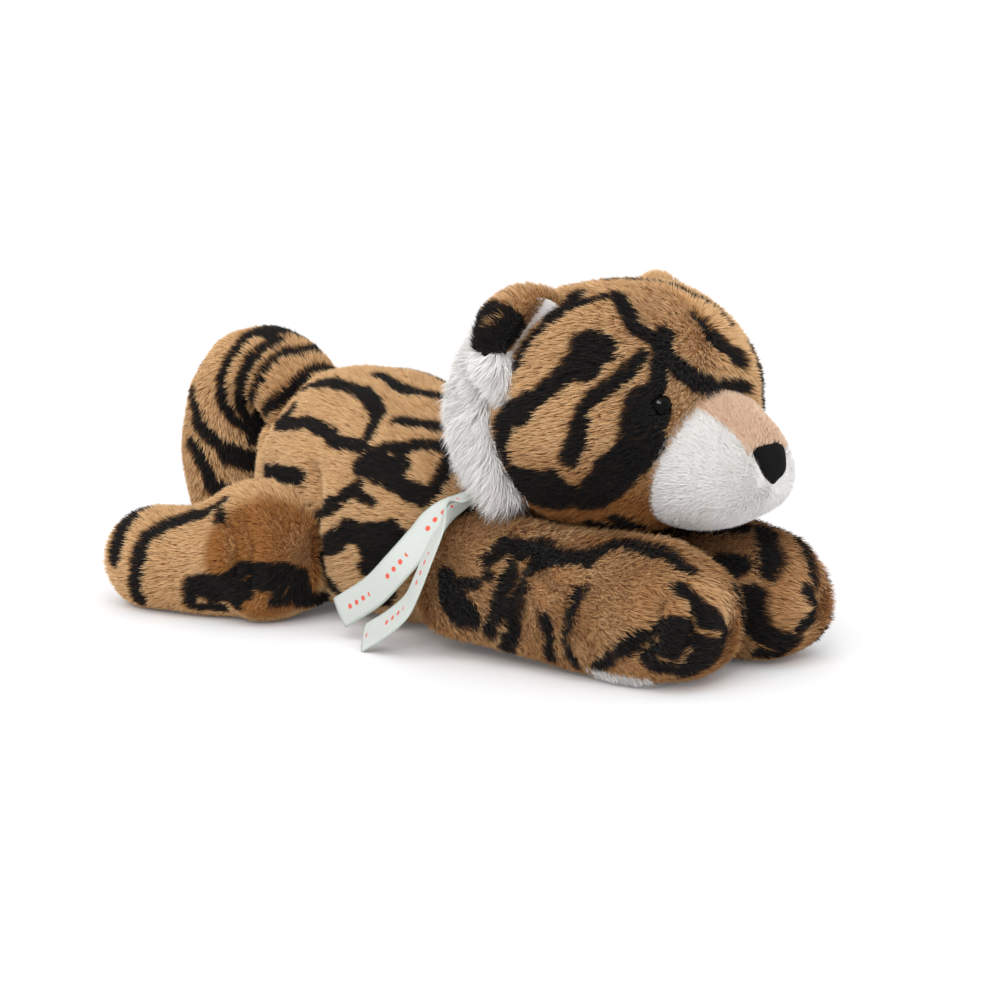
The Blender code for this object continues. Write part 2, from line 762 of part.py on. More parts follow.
def ear_place(side):
    """The ear's own axes: Z out of the head, X the way the ear faces."""
    lean = EAR_LEAN_OUT - (LEFT_EAR_STRAIGHTER if side == LEFT else 0)
    lean_out = Matrix.Rotation(-lean * side, 4, "X")
    lean_back = Matrix.Rotation(-EAR_LEAN_BACK, 4, "Y")
    face_out = Matrix.Rotation(EAR_FACE_OUT * side, 4, "Z")
    spot = Matrix.Translation(mirrored(EAR_PLACE, side))
    return head_place() @ spot @ lean_out @ face_out @ lean_back


def ear_ball(name, side, swell, forward, group=None):
    bm = bmesh.new()
    bmesh.ops.create_uvsphere(bm, u_segments=BALL_SEGMENTS, v_segments=BALL_RINGS, radius=1)
    size = (EAR_THICKNESS / 2 + swell, EAR_WIDTH / 2 + swell, EAR_HEIGHT + swell)
    bmesh.ops.scale(bm, vec=size, verts=bm.verts)
    bmesh.ops.translate(bm, vec=(forward, 0, 0), verts=bm.verts)
    bmesh.ops.transform(bm, matrix=ear_place(side), verts=bm.verts)
    return object_from(bm, name, group or CUTTERS)


def make_ear(side):
    """A flattened half round with a dish in front, and the lining that lies in the dish."""
    word = SIDE_NAMES[side]
    root_cut = head_form("ear_seat_" + word, CUTTERS, -EAR_ROOT_GAP)
    dish = ear_ball("ear_dish_" + word, side, -SKIN / 2, EAR_DISH_FORWARD)
    lining_front = ear_ball("ear_front_" + word, side, -SKIN / 2 - EAR_LINING, EAR_DISH_FORWARD)
    lining_back = ear_ball("ear_within_" + word, side, -SKIN / 2 - SEAM_GAP, EAR_DISH_FORWARD)
    ear = cut(ear_ball("ear_" + word, side, 0, 0, PIECES), dish, root_cut)
    lining = ear_ball("ear_lining_" + word, side, -SEAM_GAP, 0, PIECES)
    cut(keep(lining, lining_back), lining_front, root_cut)
    carrier = pivot("ear_pivot_" + word, ear_place(side).translation)
    hang(dress(ear, TAN_PILE), carrier)
    hang(dress(lining, WHITE_PILE), carrier)


def make_ruff(side, carrier):
    word = SIDE_NAMES[side]
    seat = head_form("ruff_seat_" + word, CUTTERS, -SEAM_GAP)
    rings = []
    for share, swell in zip(RUFF_ROUTE_SHARES, RUFF_SWELL_SHARES):
        place = mirrored((share[0] * HEAD_LENGTH, share[1] * HEAD_WIDTH, share[2] * HEAD_HEIGHT), side)
        rings.append((head_point(*place), swell * RUFF_WIDTH / 2, swell * RUFF_THICKNESS / 2))
    across = head_place().to_3x3() @ Vector((1, 0, 0))
    ruff = tube_cage("ruff_" + word, rings, LIMB_SIDES, PIECES, 0, tuple(across))
    ear_room = ear_ball("ruff_ear_room_" + word, side, RUFF_EAR_GAP, 0)
    hang(dress(cut(ruff, seat, ear_room), WHITE_PILE), carrier)


def make_head():
    carrier = pivot("head_pivot", NECK_CENTRE)
    hollow = head_form("head_hollow", CUTTERS, SKIN)
    seat = socket("neck_head_seat", NECK_CENTRE, NECK_RADIUS + NECK_ROOM)
    room = socket("neck_head_room", NECK_CENTRE, NECK_RADIUS + NECK_ROOM, HOLLOW_LEVELS)
    eye_cuts = [shape for side in SIDE_NAMES for shape in make_eye(side, carrier)]
    skin = cut(head_form("head_skin", PIECES), hollow, seat, *eye_cuts)
    filling = cut(head_form("head_filling", PIECES, SKIN + FILL_GAP), room, *eye_cuts)
    hang(dress(skin, TAN_PILE), carrier)
    hang(dress(filling, FIBRE_FILL), carrier)
    make_face(carrier)
    for side in SIDE_NAMES:
        make_ear(side)
        make_ruff(side, carrier)


# Ribbon

def smooth_route(points, steps):
    """Points on a Catmull-Rom curve through the points given."""
    padded = [points[0] * 2 - points[1]] + points + [points[-1] * 2 - points[-2]]
    route = []
    for before, start, end, after in zip(padded, padded[1:], padded[2:], padded[3:]):
        for step in range(steps):
            t = step / steps
            route.append(
                start + (end - before) * (t / 2)
                + (before * 2 - start * 5 + end * 4 - after) * (t * t / 2)
                + (start * 3 - before - end * 3 + after) * (t ** 3 / 2)
            )
    route.append(points[-1])
    return route


def ribbon_tail(name, route_shares, turn):
    """A satin strip from the knot down the flank; it lies flat outwards, or is turned on edge."""
    knot = Vector(KNOT_CENTRE)
    stations = [
        Vector((
            knot.x - back * RIBBON_BACK, knot.y - out * RIBBON_OUT, knot.z - below * RIBBON_FALL,
        ))
        for back, out, below in route_shares
    ]
    route = smooth_route(stations, RIBBON_STEPS)
    bm = bmesh.new()
    rows = []
    for index, point in enumerate(route):
        ahead = (route[min(index + 1, len(route) - 1)] - route[max(index - 1, 0)]).normalized()
        across = Matrix.Rotation(turn, 3, ahead) @ ahead.cross(Vector((0, 1, 0))).normalized()
        opening = min(1, RIBBON_GATHER_SHARE + index / RIBBON_STEPS / 2)
        half = across * (RIBBON_WIDTH / 2 * opening)
        rows.append((bm.verts.new(point - half), bm.verts.new(point + half)))
    for first, second in zip(rows, rows[1:]):
        bm.faces.new((first[0], first[1], second[1], second[0]))
    obj = object_from(bm, name, PIECES)
    solid = obj.modifiers.new("satin", "SOLIDIFY")
    solid.thickness = RIBBON_THICKNESS
    solid.offset = 0
    return dress(obj, MINT_SATIN)


def make_ribbon():
    turn = Matrix.Rotation(math.pi / 2 - NECK_TILT, 4, "Y")
    place = Matrix.Translation(NECK_CENTRE) @ turn
    half = COLLAR_WIDTH / 2
    inner = (NECK_RADIUS + SEAM_GAP) / math.cos(math.pi / BALL_SEGMENTS)
    outer = inner + COLLAR_THICKNESS
    ring = [(outer, half), (outer, -half), (inner, -half), (inner, half)]
    dress(turned("ribbon_collar", ring, PIECES, place, True), MINT_SATIN)
    bm = bmesh.new()
    bmesh.ops.create_cube(bm, size=1)
    bmesh.ops.scale(bm, vec=KNOT_SIZE, verts=bm.verts)
    bmesh.ops.translate(bm, vec=KNOT_CENTRE, verts=bm.verts)
    dress(subdivide(object_from(bm, "ribbon_knot", PIECES), KNOT_LEVELS), MINT_SATIN)
    ribbon_tail("ribbon_tail_wide", WIDE_ROUTE_SHARES, 0)
    ribbon_tail("ribbon_tail_narrow", NARROW_ROUTE_SHARES, NARROW_TURN)


def floor_block():
    """Everything under the floor, which presses a flat on each form that rests on it."""
    half = FLOOR_WIDTH / 2
    outline = [(-half, -half), (half, -half), (half, half), (-half, half)]
    return prism("floor_cut", outline, -OVERRUN, 0)


start_clean()
PIECES = new_group("plush_tiger")
CUTTERS = new_group("cutters")
FLOOR = floor_block()
HEAD_GUIDE = head_form("head_guide", CUTTERS)
make_body()
make_neck()
make_head()
for limb_side in SIDE_NAMES:
    make_arm(limb_side)
    make_leg(limb_side)
make_tail()
make_ribbon()
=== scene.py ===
# %% [markdown]
# A plush tiger is a set of sewn bags, filled until they are round, with long pile on the
# outside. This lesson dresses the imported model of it: each bag is worked out again as a
# smooth surface, folds are pressed into it, and its pile is then grown strand by strand.
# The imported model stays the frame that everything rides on.

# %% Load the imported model
import json
import math
from functools import partial

import bpy
import numpy as np
from mathutils import Matrix, Vector
from mathutils.bvhtree import BVHTree

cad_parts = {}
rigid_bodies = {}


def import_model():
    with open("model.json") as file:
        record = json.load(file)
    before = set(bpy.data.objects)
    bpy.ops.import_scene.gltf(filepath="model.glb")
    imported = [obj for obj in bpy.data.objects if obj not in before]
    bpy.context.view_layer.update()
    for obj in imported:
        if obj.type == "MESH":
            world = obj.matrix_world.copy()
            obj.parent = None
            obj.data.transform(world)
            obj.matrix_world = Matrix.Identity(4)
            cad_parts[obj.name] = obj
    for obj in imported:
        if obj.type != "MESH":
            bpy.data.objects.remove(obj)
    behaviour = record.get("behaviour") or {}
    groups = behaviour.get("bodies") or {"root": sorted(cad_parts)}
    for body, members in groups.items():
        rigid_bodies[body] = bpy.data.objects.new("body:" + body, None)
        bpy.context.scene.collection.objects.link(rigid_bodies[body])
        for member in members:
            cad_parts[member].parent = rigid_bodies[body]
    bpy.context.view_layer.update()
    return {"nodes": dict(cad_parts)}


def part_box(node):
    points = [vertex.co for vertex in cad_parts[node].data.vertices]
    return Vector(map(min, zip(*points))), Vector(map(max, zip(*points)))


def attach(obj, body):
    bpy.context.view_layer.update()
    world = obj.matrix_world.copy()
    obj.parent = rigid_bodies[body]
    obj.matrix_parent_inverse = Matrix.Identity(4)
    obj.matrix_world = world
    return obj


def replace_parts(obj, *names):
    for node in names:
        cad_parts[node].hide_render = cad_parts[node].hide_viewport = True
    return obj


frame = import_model()

# %% [markdown]
# The photograph was taken from in front of the tiger's right side and a little from above,
# through a long lens. The camera comes first, because the stripes are later drawn as rays
# through the pixels that they cover. It is set by angles round the tiger, which are easier
# to correct than three coordinates.

# %% Camera
AZIMUTH = math.radians(40)
ELEVATION = math.radians(10)
DISTANCE = 1.1
FRAME_WIDTH = 0.5
SENSOR = 36.0
PIXELS = 1000
AIM_RIGHT, AIM_UP = 0.035, 0.056

back = np.array([
    math.sin(AZIMUTH) * math.cos(ELEVATION),
    -math.cos(AZIMUTH) * math.cos(ELEVATION),
    math.sin(ELEVATION),
])
right = np.array([math.cos(AZIMUTH), math.sin(AZIMUTH), 0.0])
up = np.cross(back, right)
eye_point = right * AIM_RIGHT + up * AIM_UP + back * DISTANCE


def add_object(name, data, aim=None):
    """A linked object, turned so that its own -Z points along aim."""
    obj = bpy.data.objects.new(name, data)
    bpy.context.scene.collection.objects.link(obj)
    if aim is not None:
        obj.rotation_mode = "QUATERNION"
        obj.rotation_quaternion = Vector(aim).to_track_quat("-Z", "Y")
    return obj


camera_data = bpy.data.cameras.new("camera")
camera_data.sensor_width = SENSOR
camera_data.lens = SENSOR * DISTANCE / FRAME_WIDTH
camera = add_object("camera", camera_data, aim=-back)
camera.location = eye_point
bpy.context.scene.camera = camera


def look(x, y):
    """The ray's direction through a pixel: forwards, plus the pixel's offset from the middle."""
    focal = PIXELS * DISTANCE / FRAME_WIDTH
    way = -back * focal + right * (x - PIXELS / 2) - up * (y - PIXELS / 2)
    return Vector(way).normalized()


print("lens", round(camera_data.lens, 1))

# %% [markdown]
# Every part of the tiger is a sewn bag that its filling has pulled smooth. It could be
# sculpted, or a cloth could be inflated. Here a cubic B-spline runs through the rings that
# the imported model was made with, because it smooths over them as cloth does over filling,
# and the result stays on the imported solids.

# %% Spline weights
def spline_weights(places, count):
    """Weights of a uniform cubic B-spline. With f the fraction of a place, the four rings round
    it count for (1-f)^3, 3f^3-6f^2+4, -3f^3+3f^2+3f+1 and f^3, each over 6."""
    span = np.clip(places.astype(int), 0, count - 4)
    f = places - span
    inner = 3 * f**3 - 6 * f**2 + 4, -3 * f**3 + 3 * f**2 + 3 * f + 1
    four = np.stack([(1 - f) ** 3, *inner, f**3]) / 6
    weights = np.zeros((len(places), count))
    np.put_along_axis(weights, span[:, None] + np.arange(4), four.T, 1)
    return weights


def unit(vectors):
    """Each vector divided by its own length."""
    length = np.linalg.norm(vectors, axis=-1, keepdims=True)
    return vectors / np.maximum(length, 1e-12)


def whole_turn(count):
    """Angles all the way round, without the last one, which is the first again."""
    return np.linspace(0, math.tau, count, endpoint=False)


print("weights halfway between rings:", spline_weights(np.array([0.5]), 4).round(3))

# %% [markdown]
# A loft carries an oval along those rings. Its points form a grid with rows along the bag
# and sides round it, so that folds, stripes and pile can all be worked out as whole arrays
# from the grid and its outward normals.

# %% Loft and normals
def three_more(values, shares=(1, 1, 1)):
    """Three more rings at each end, at shares of the end ring; the last share is next to it."""
    first, last = [values[:1] * s for s in shares], [values[-1:] * s for s in shares[::-1]]
    return np.concatenate(first + [values] + last)


def loft(rings, side_axis=None, lies=False, rows=72, sides=88, sag=0.45):
    """Grid of points. Each ring is centre + side * half width * cos a + up * half height * sin a,
    and the spline joins the rings. The radius runs through zero at both ends, which closes
    them. A form that lies is wider at its bottom, by sag * (-sin a)^3."""
    centres = np.array([r[0] for r in rings], float)
    steps = [centres[1:2] - centres[:1], centres[2:] - centres[:-2], centres[-1:] - centres[-2:-1]]
    centres, ahead = three_more(centres), three_more(unit(np.concatenate(steps)))
    halves = three_more(np.array([r[1:] for r in rings], float), (-0.62, 0, 0.62))
    side = unit(np.cross([0, 0, 1.0], ahead))
    if side_axis is not None:
        side = np.tile(np.array(side_axis, float), (len(ahead), 1))
    rise = np.cross(ahead, side)
    angle = whole_turn(sides)
    spread = np.cos(angle) * (1 + (sag if lies else 0) * np.maximum(0, -np.sin(angle)) ** 3)
    cage = (
        centres[:, None]
        + side[:, None] * (halves[:, None, :1] * spread[None, :, None])
        + rise[:, None] * (halves[:, None, 1:] * np.sin(angle)[None, :, None])
    )
    places = np.linspace(0, len(cage) - 3, rows)
    return np.einsum("rc,csx->rsx", spline_weights(places, len(cage)), cage)


def slopes(grid):
    """Direction along the rows, and the outward normal: the two directions' cross product."""
    along = np.gradient(grid, axis=0)
    around = np.roll(grid, -1, 1) - np.roll(grid, 1, 1)
    normal = unit(np.cross(around, along))
    normal[0], normal[-1] = unit(normal[1].mean(0)), unit(normal[-2].mean(0))
    outward = np.sum(normal * (grid - grid.mean(1, keepdims=True)), -1)[2:-2].mean()
    return unit(along), normal * np.sign(outward)


trial = loft([((x, 0, 0), 0.02, 0.02) for x in (0, 0.02, 0.04)])
print("a trial bag:", trial.shape[:2], "points,", (np.ptp(trial[..., 0]) * 1000).round(), "mm long")

# %% [markdown]
# The body is a barrel with a high rump, the head wide and low, and the muzzle short. Each
# table lists a few rings in shares of the whole size. A table is chosen over a drawn mesh
# because one number moves one ring, and the spline does the rest.

# %% Rings of the body, head and muzzle
RIGHT, LEFT = -1, 1
WORD = {RIGHT: "right", LEFT: "left"}
HEAD_CENTRE = np.array([0.120, -0.001, 0.116])
HEAD_TURN = math.radians(-2)
HEAD_AXES = np.array(Matrix.Rotation(HEAD_TURN, 3, "Z"))


def from_head(points):
    """Points in the head's own axes, turned and moved to where they are in the scene."""
    return np.asarray(points) @ HEAD_AXES.T + HEAD_CENTRE


def in_head(points):
    """The other way round: points of the scene in the head's own axes."""
    return (points - HEAD_CENTRE) @ HEAD_AXES


def upright_rings(table, start, length, width, height, drop=0.0):
    """Rings of (along, width, top, bottom) shares on a straight line."""
    return [
        ([start + a * length, 0, (t + b) / 2 * height - drop], w * width / 2, (t - b) / 2 * height)
        for a, w, t, b in table
    ]


def head_rings(table, start, length, width, height, drop=0.0):
    """The same rings, put on the turned head."""
    rings = upright_rings(table, start, length, width, height, drop)
    return [(from_head(c), w, h) for c, w, h in rings]


# (along, width, top, bottom) of each ring, then the start, length, width and height
BODY = upright_rings((
    (0.00, 0.30, 0.80, 0.28), (0.13, 0.68, 1.00, 0.07), (0.34, 0.97, 1.09, -0.01),
    (0.59, 1.03, 0.97, -0.01), (0.82, 0.96, 0.88, 0.02), (0.97, 0.56, 0.62, 0.18),
), -0.103, 0.194, 0.108, 0.112)
HEAD_SIZE = (0.112, 0.122, 0.112)
HEAD = head_rings((
    (-0.50, 0.34, 0.18, -0.28), (-0.41, 0.80, 0.35, -0.42), (-0.14, 1.05, 0.48, -0.52),
    (0.18, 1.00, 0.50, -0.50), (0.42, 0.70, 0.28, -0.42), (0.50, 0.30, 0.14, -0.26),
), 0, *HEAD_SIZE)
MUZZLE = head_rings((
    (0.00, 0.70, 0.50, -0.36), (0.26, 1.00, 0.62, -0.47), (0.62, 0.98, 0.44, -0.49),
    (0.90, 0.74, 0.19, -0.37), (1.00, 0.34, 0.02, -0.22),
), 0.018, 0.066, 0.070, 0.062, 0.022)
print(len(BODY), "rings in the body,", len(HEAD), "in the head,", len(MUZZLE), "in the muzzle")

# %% [markdown]
# The arms, the hind legs and the tail each start with a round root on which they turn, like
# a ball in a socket. The real ones only bend at a seam, but a ball keeps the joint closed
# at every angle. After the root, an arm sinks and bends inwards to its paw, a leg runs back
# and outwards, and the tail climbs, arches over and comes down behind.

# %% Rings of the limbs and the tail
def root_rings(centre, ahead, radius):
    """The back half of a ball: rings at -0.93, -0.62 and -0.1 of its radius."""
    centre, ahead = np.array(centre, float), np.array(ahead, float)
    shares = (-0.93, 0.50), (-0.62, 0.88), (-0.1, 1.04)
    return [(centre + ahead * radius * a, radius * r, radius * r) for a, r in shares]


SHOULDER = (0.070, 0.044, 0.034)
HIP = (-0.058, 0.055, 0.033)
TAIL_ROOT = (-0.080, 0.0, 0.093)


def arm(side):
    """Rings of (place along the arm, share of the bend inwards, width, height)."""
    reach, inward = (0.129, 0.016) if side == LEFT else (0.122, 0.012)
    x, y, z = SHOULDER
    paw_z = 1.13 * 0.057 / 2 - 0.0040
    rings = root_rings((x, side * y, z), (1, 0, 0), 0.026)
    for along, bend, width, height in (
        (0.36, 0.4, 0.96, 0.95), (0.76, 1, 1.17, 1.13),
        (0.97, 1, 0.92, 0.84), (1.03, 1, 0.42, 0.40),
    ):
        centre = [x + along * reach, side * (y - bend * inward), z + bend * (paw_z - z)]
        rings.append((centre, width * 0.0275, height * 0.0285))
    return rings


def leg(side):
    """Rings of (place along the leg, share of the bend outwards, thickness)."""
    x, y, z = HIP
    rings = root_rings((x, side * y, z), (-1, 0, 0), 0.0335)
    rings.append(((-0.068, side * 0.058, 0.0315), 0.0315, 0.0315))
    for along, bend, thickness in (
        (0.34, 0.7, 1.02), (0.62, 1, 1.02), (0.92, 1, 0.94), (1.02, 1, 0.46),
    ):
        centre = [x - along * 0.080, side * (y + bend * 0.018), 0.0240]
        rings.append((centre, thickness * 0.025, thickness * 0.0245))
    return rings


def tail():
    """Three rings of the root, then rings of (share of the way back, height, thickness)."""
    rings = [
        ((x, 0, z), radius, radius)
        for x, z, radius in (
            (-0.062, 0.090, 0.012), (-0.069, 0.091, 0.019), (-0.079, 0.094, 0.0215))
    ]
    for back_share, height, thickness in (
        (0.10, 0.860, 0.94), (0.30, 0.965, 0.97), (0.62, 1.000, 1.02), (0.88, 0.900, 1.06),
        (1.00, 0.710, 1.10), (0.98, 0.480, 1.10), (0.91, 0.270, 0.96), (0.86, 0.140, 0.50),
    ):
        centre = [-0.080 - back_share * 0.064, 0, height * 0.118]
        rings.append((centre, thickness * 0.0215, thickness * 0.0215 * 0.90))
    return rings


print(len(arm(RIGHT)), "rings in an arm,", len(leg(RIGHT)), "in a leg,", len(tail()), "in the tail")

# %% [markdown]
# Now each set of rings becomes a grid. What lies on the floor is wider at its bottom, since
# a heavy bag sags.

# %% Lofts of all the bags
SIDEWAYS = (0, 1, 0)
HEAD_SIDE = HEAD_AXES @ np.array([0, 1.0, 0])
# name: (rings, side axis, whether it lies on the floor)
FORMS = {
    "body": (BODY, SIDEWAYS, True),
    "head": (HEAD, HEAD_SIDE, False),
    "muzzle": (MUZZLE, HEAD_SIDE, False),
    "tail": (tail(), SIDEWAYS, False),
}
for side, word in WORD.items():
    FORMS["arm_" + word] = (arm(side), None, True)
    FORMS["leg_" + word] = (leg(side), None, True)
GRIDS = {name: loft(*form) for name, form in FORMS.items()}
for name, grid in GRIDS.items():
    print(name, (np.ptp(grid.reshape(-1, 3), 0) * 1000).round().tolist(), "mm")

# %% [markdown]
# Filling never lies quite evenly, so each bag has shallow lumps. A noise texture could
# displace them. A sum of sine waves in fixed random directions does the same to the grid
# itself, so that everything grown on the grid follows, and it is the same on every run.

# %% Soft lumps
def ripple(points, size, seed):
    """About -1 to 1: the mean of seven sines of p . k + phase, each k of a length near
    tau / size and in a random direction."""
    rng = np.random.default_rng(seed)
    ways = unit(rng.normal(size=(7, 3))) * (math.tau / size) * rng.uniform(0.7, 1.4, (7, 1))
    return np.sin(points @ ways.T + rng.uniform(0, math.tau, 7)).mean(-1) * 1.6


LUMP_HEIGHT = 0.0011
for name, grid in GRIDS.items():
    _, normal = slopes(grid)
    lumps = ripple(grid, 0.034, 5) * LUMP_HEIGHT
    grid += normal * lumps[..., None]
    print(name, "lumps up to", (lumps.max() * 1000).round(2), "mm high")

# %% [markdown]
# Folds and stripes are drawn later as rays that meet the skin. To find where a ray meets
# it, the faces between the grids' points go into one search tree, which Blender has ready
# made.

# %% A tree of the skin's faces
def quads_of(rows, sides):
    """Corner numbers of each quad of a grid that closes round, row by row."""
    r, s = np.meshgrid(np.arange(rows - 1), np.arange(sides), indexing="ij")
    t = (s + 1) % sides
    corners = r * sides + s, r * sides + t, (r + 1) * sides + t, (r + 1) * sides + s
    return np.stack(corners, -1).reshape(-1, 4)


def tree_of(grids):
    """One search tree over the faces of several grids."""
    points, faces, first = [], [], 0
    for grid in grids:
        points.append(grid.reshape(-1, 3))
        faces.append(quads_of(*grid.shape[:2]) + first)
        first += len(points[-1])
    points, faces = np.concatenate(points).tolist(), np.concatenate(faces).tolist()
    return BVHTree.FromPolygons(points, faces)


print("faces in the tree:", sum(len(quads_of(*grid.shape[:2])) for grid in GRIDS.values()))

# %% [markdown]
# Folds and stripes both run over the skin as lines. They could be painted on a flattened
# map. Here a stroke is a few pixels of the picture: a ray through each pixel finds the
# skin, and the chain of points on it is the line, so it falls where the photograph shows
# it.

# %% Strokes on the surface
LONGEST_GAP = 0.030
MIDDLE_PIXEL = np.array([450.0, 480.0])
MOST_SLIDE = 16
OTHER_SIDE = [1, -1, 1, 1, -1, 1, 1]


def touch(tree, x, y):
    """Where the ray through a pixel meets the surface. One that passes just outside slides
    towards the middle of the tiger, up to 16 pixels."""
    pixel = np.array([x, y], float)
    inwards = unit(MIDDLE_PIXEL - pixel)
    for slide in range(0, MOST_SLIDE + 1, 2):
        place = tree.ray_cast(Vector(eye_point), look(*(pixel + inwards * slide)))[0]
        if place is not None:
            return place
    return None


def trace(tree, strokes):
    """Capsules (start, end, half width) of strokes (width in pixels, x, y, x, y, ...), where
    both ends meet a surface."""
    capsules = []
    for width, *numbers in strokes:
        hits = [touch(tree, x, y) for x, y in zip(numbers[::2], numbers[1::2])]
        half = width * FRAME_WIDTH / PIXELS / 2
        for a, b in zip(hits, hits[1:]):
            if a is not None and b is not None and (a - b).length < LONGEST_GAP:
                capsules.append([*a, *b, half])
    return np.array(capsules)


def both_sides(capsules):
    """A set of capsules, and the same with y turned over."""
    return np.concatenate([capsules, capsules * OTHER_SIDE])


def nearest(points, capsules):
    """Distance to the nearest capsule's skin: |p - a - t (b - a)| - half width, with t the
    place along the capsule, held between 0 and 1."""
    least = np.full(points.shape[:-1], 1.0)
    for capsule in capsules:
        a, way = capsule[:3], capsule[3:6] - capsule[:3]
        t = np.clip((points - a) @ way / max(way @ way, 1e-12), 0, 1)
        far = np.linalg.norm(points - a - t[..., None] * way, axis=-1)
        least = np.minimum(least, far - capsule[6])
    return least


middle_hit = touch(tree_of(GRIDS.values()), *MIDDLE_PIXEL)
print("the middle of the tiger is met at", [round(v, 3) for v in middle_hit])

# %% [markdown]
# The skin folds where a limb leaves the body, round the tail's root and behind the toes. A
# cloth simulation could crease it, but the bags are tight and the pile hides small creases,
# so the few that show are pressed in as grooves. The strands in them later get painted
# shade, a dark brown.

# %% Folds
FOLDS = (
    (2, 322, 470, 324, 500, 323, 545, 321, 590), (2, 232, 522, 240, 545, 236, 575),
    (2, 246, 520, 256, 548, 252, 585), (2, 492, 555, 512, 572, 520, 600, 516, 635),
    (2, 512, 548, 532, 560, 545, 585), (2, 300, 395, 285, 415, 270, 441, 256, 468),
    (2, 688, 600, 690, 625, 684, 645), (2, 655, 600, 652, 628, 640, 650),
)
FOLD_DEPTH = 0.0050
FOLD_WIDTH = 0.0042
folds = both_sides(trace(tree_of(GRIDS.values()), FOLDS))
for name in ("body", "tail", "arm_right", "arm_left", "leg_right", "leg_left"):
    grid = GRIDS[name]
    _, normal = slopes(grid)
    away = np.maximum(nearest(grid, folds), 0) / FOLD_WIDTH
    # a groove, with a low swell on each side of it
    groove = 1.35 * np.exp(-(away**2)) - 0.35 * np.exp(-((away / 2.4) ** 2))
    grid -= normal * (FOLD_DEPTH * groove)[..., None]
print(len(folds), "fold lines")

# %% [markdown]
# The roots of the limbs, the tail and the neck need round seats in the body to turn in. A
# boolean would cut them, but it leaves ragged edges. So a point of the body that falls
# inside a seat's ball is pushed inwards along its normal until it leaves the ball on the
# far side.

# %% Round seats in the body
NECK = (0.0765, 0.0, 0.0790)
SEATS = [(TAIL_ROOT, 0.0225), (NECK, 0.0282)]
for side in WORD:
    for (x, y, z), radius in ((SHOULDER, 0.0268), (HIP, 0.0343)):
        SEATS.append(((x, y * side, z), radius))


def press_seat(grid, centre, radius):
    """Where the inward line leaves the ball: t = b + sqrt(b^2 - d^2 + r^2), with b the
    point's offset from the ball's centre along the normal and d its whole distance."""
    _, normal = slopes(grid)
    offset = grid - np.array(centre)
    b = np.sum(offset * normal, -1)
    within = np.sum(offset**2, -1) < radius**2
    depth = b + np.sqrt(np.maximum(b**2 - np.sum(offset**2, -1) + radius**2, 0))
    return grid - normal * np.where(within, depth, 0)[..., None], within


bare = np.zeros(GRIDS["body"].shape[:2], bool)
whole_body = GRIDS["body"].copy()
for centre, radius in SEATS:
    GRIDS["body"], within = press_seat(GRIDS["body"], centre, radius)
    bare |= within
FLOOR_GAP = 0.0006
for grid in GRIDS.values():
    grid[..., 2] = np.maximum(grid[..., 2], FLOOR_GAP)
print(int(bare.sum()), "points of the body in its seats")

# %% [markdown]
# Pile mustn't grow where two bags overlap, such as on the part of the muzzle that is inside
# the head. Every such form is a straight run of ovals, so a short formula tells how deep a
# point lies in it.

# %% How deep a point lies in a form
def depth_in(points, whole, as_head=False):
    """How deep points lie inside a straight form: (1 - q) * the smaller half size, where q is
    the point's radius as a share of the ring at the same place along the form."""
    local, ring = (in_head(points), in_head(whole)) if as_head else (points, whole)
    x = ring[..., 0].mean(1)
    order = np.argsort(x)

    def at(values):
        return np.interp(local[..., 0], x[order], values[order])

    y_half = np.maximum(at(np.ptp(ring[..., 1], 1) / 2), 1e-4)
    z_half = np.maximum(at(np.ptp(ring[..., 2], 1) / 2), 1e-4)
    z_mid = at((ring[..., 2].max(1) + ring[..., 2].min(1)) / 2)
    q = np.sqrt((local[..., 1] / y_half) ** 2 + ((local[..., 2] - z_mid) / z_half) ** 2)
    inside = (local[..., 0] > x.min()) & (local[..., 0] < x.max())
    return np.where(inside, (1 - q) * np.minimum(y_half, z_half), -1)


print("the head's centre is", round(depth_in(HEAD_CENTRE, GRIDS["head"], True) * 1000), "mm deep")

# %% [markdown]
# Materials are made of nodes. These helpers add a node, link it or set its value, so that
# each material below reads as a few lines of colours and numbers.

# %% Node helpers
def new_material(name):
    """A material, its tree, and the shader that Blender puts in it."""
    material = bpy.data.materials.new(name)
    material.use_nodes = True
    tree = material.node_tree
    return material, tree, tree.nodes["Principled BSDF"]


def node(tree, kind, **values):
    """A new node, with some of its settings."""
    made = tree.nodes.new(kind)
    for key, value in values.items():
        setattr(made, key, value)
    return made


def feed(tree, socket, value):
    """Link another socket to this one, or set its value."""
    if isinstance(value, bpy.types.NodeSocket):
        tree.links.new(value, socket)
    elif isinstance(value, tuple):
        socket.default_value = (*value, 1)
    else:
        socket.default_value = value


def mix_colour(tree, factor, first, second, **values):
    """Mix node: first where factor is 0, second where it is 1."""
    mix = node(tree, "ShaderNodeMix", data_type="RGBA", **values)
    for socket, value in (("Factor", factor), ("A", first), ("B", second)):
        feed(tree, mix.inputs[socket], value)
    return mix.outputs["Result"]


def maths(tree, operation, first, second=0.0, clamp=False):
    made = node(tree, "ShaderNodeMath", operation=operation, use_clamp=clamp)
    feed(tree, made.inputs[0], first)
    feed(tree, made.inputs[1], second)
    return made.outputs[0]


def smooth(tree, value, low, high):
    """0 below low, 1 above high, and a soft step between."""
    ramp = node(tree, "ShaderNodeMapRange", interpolation_type="SMOOTHSTEP")
    ramp.inputs["From Min"].default_value = low
    ramp.inputs["From Max"].default_value = high
    tree.links.new(value, ramp.inputs["Value"])
    return ramp.outputs["Result"]


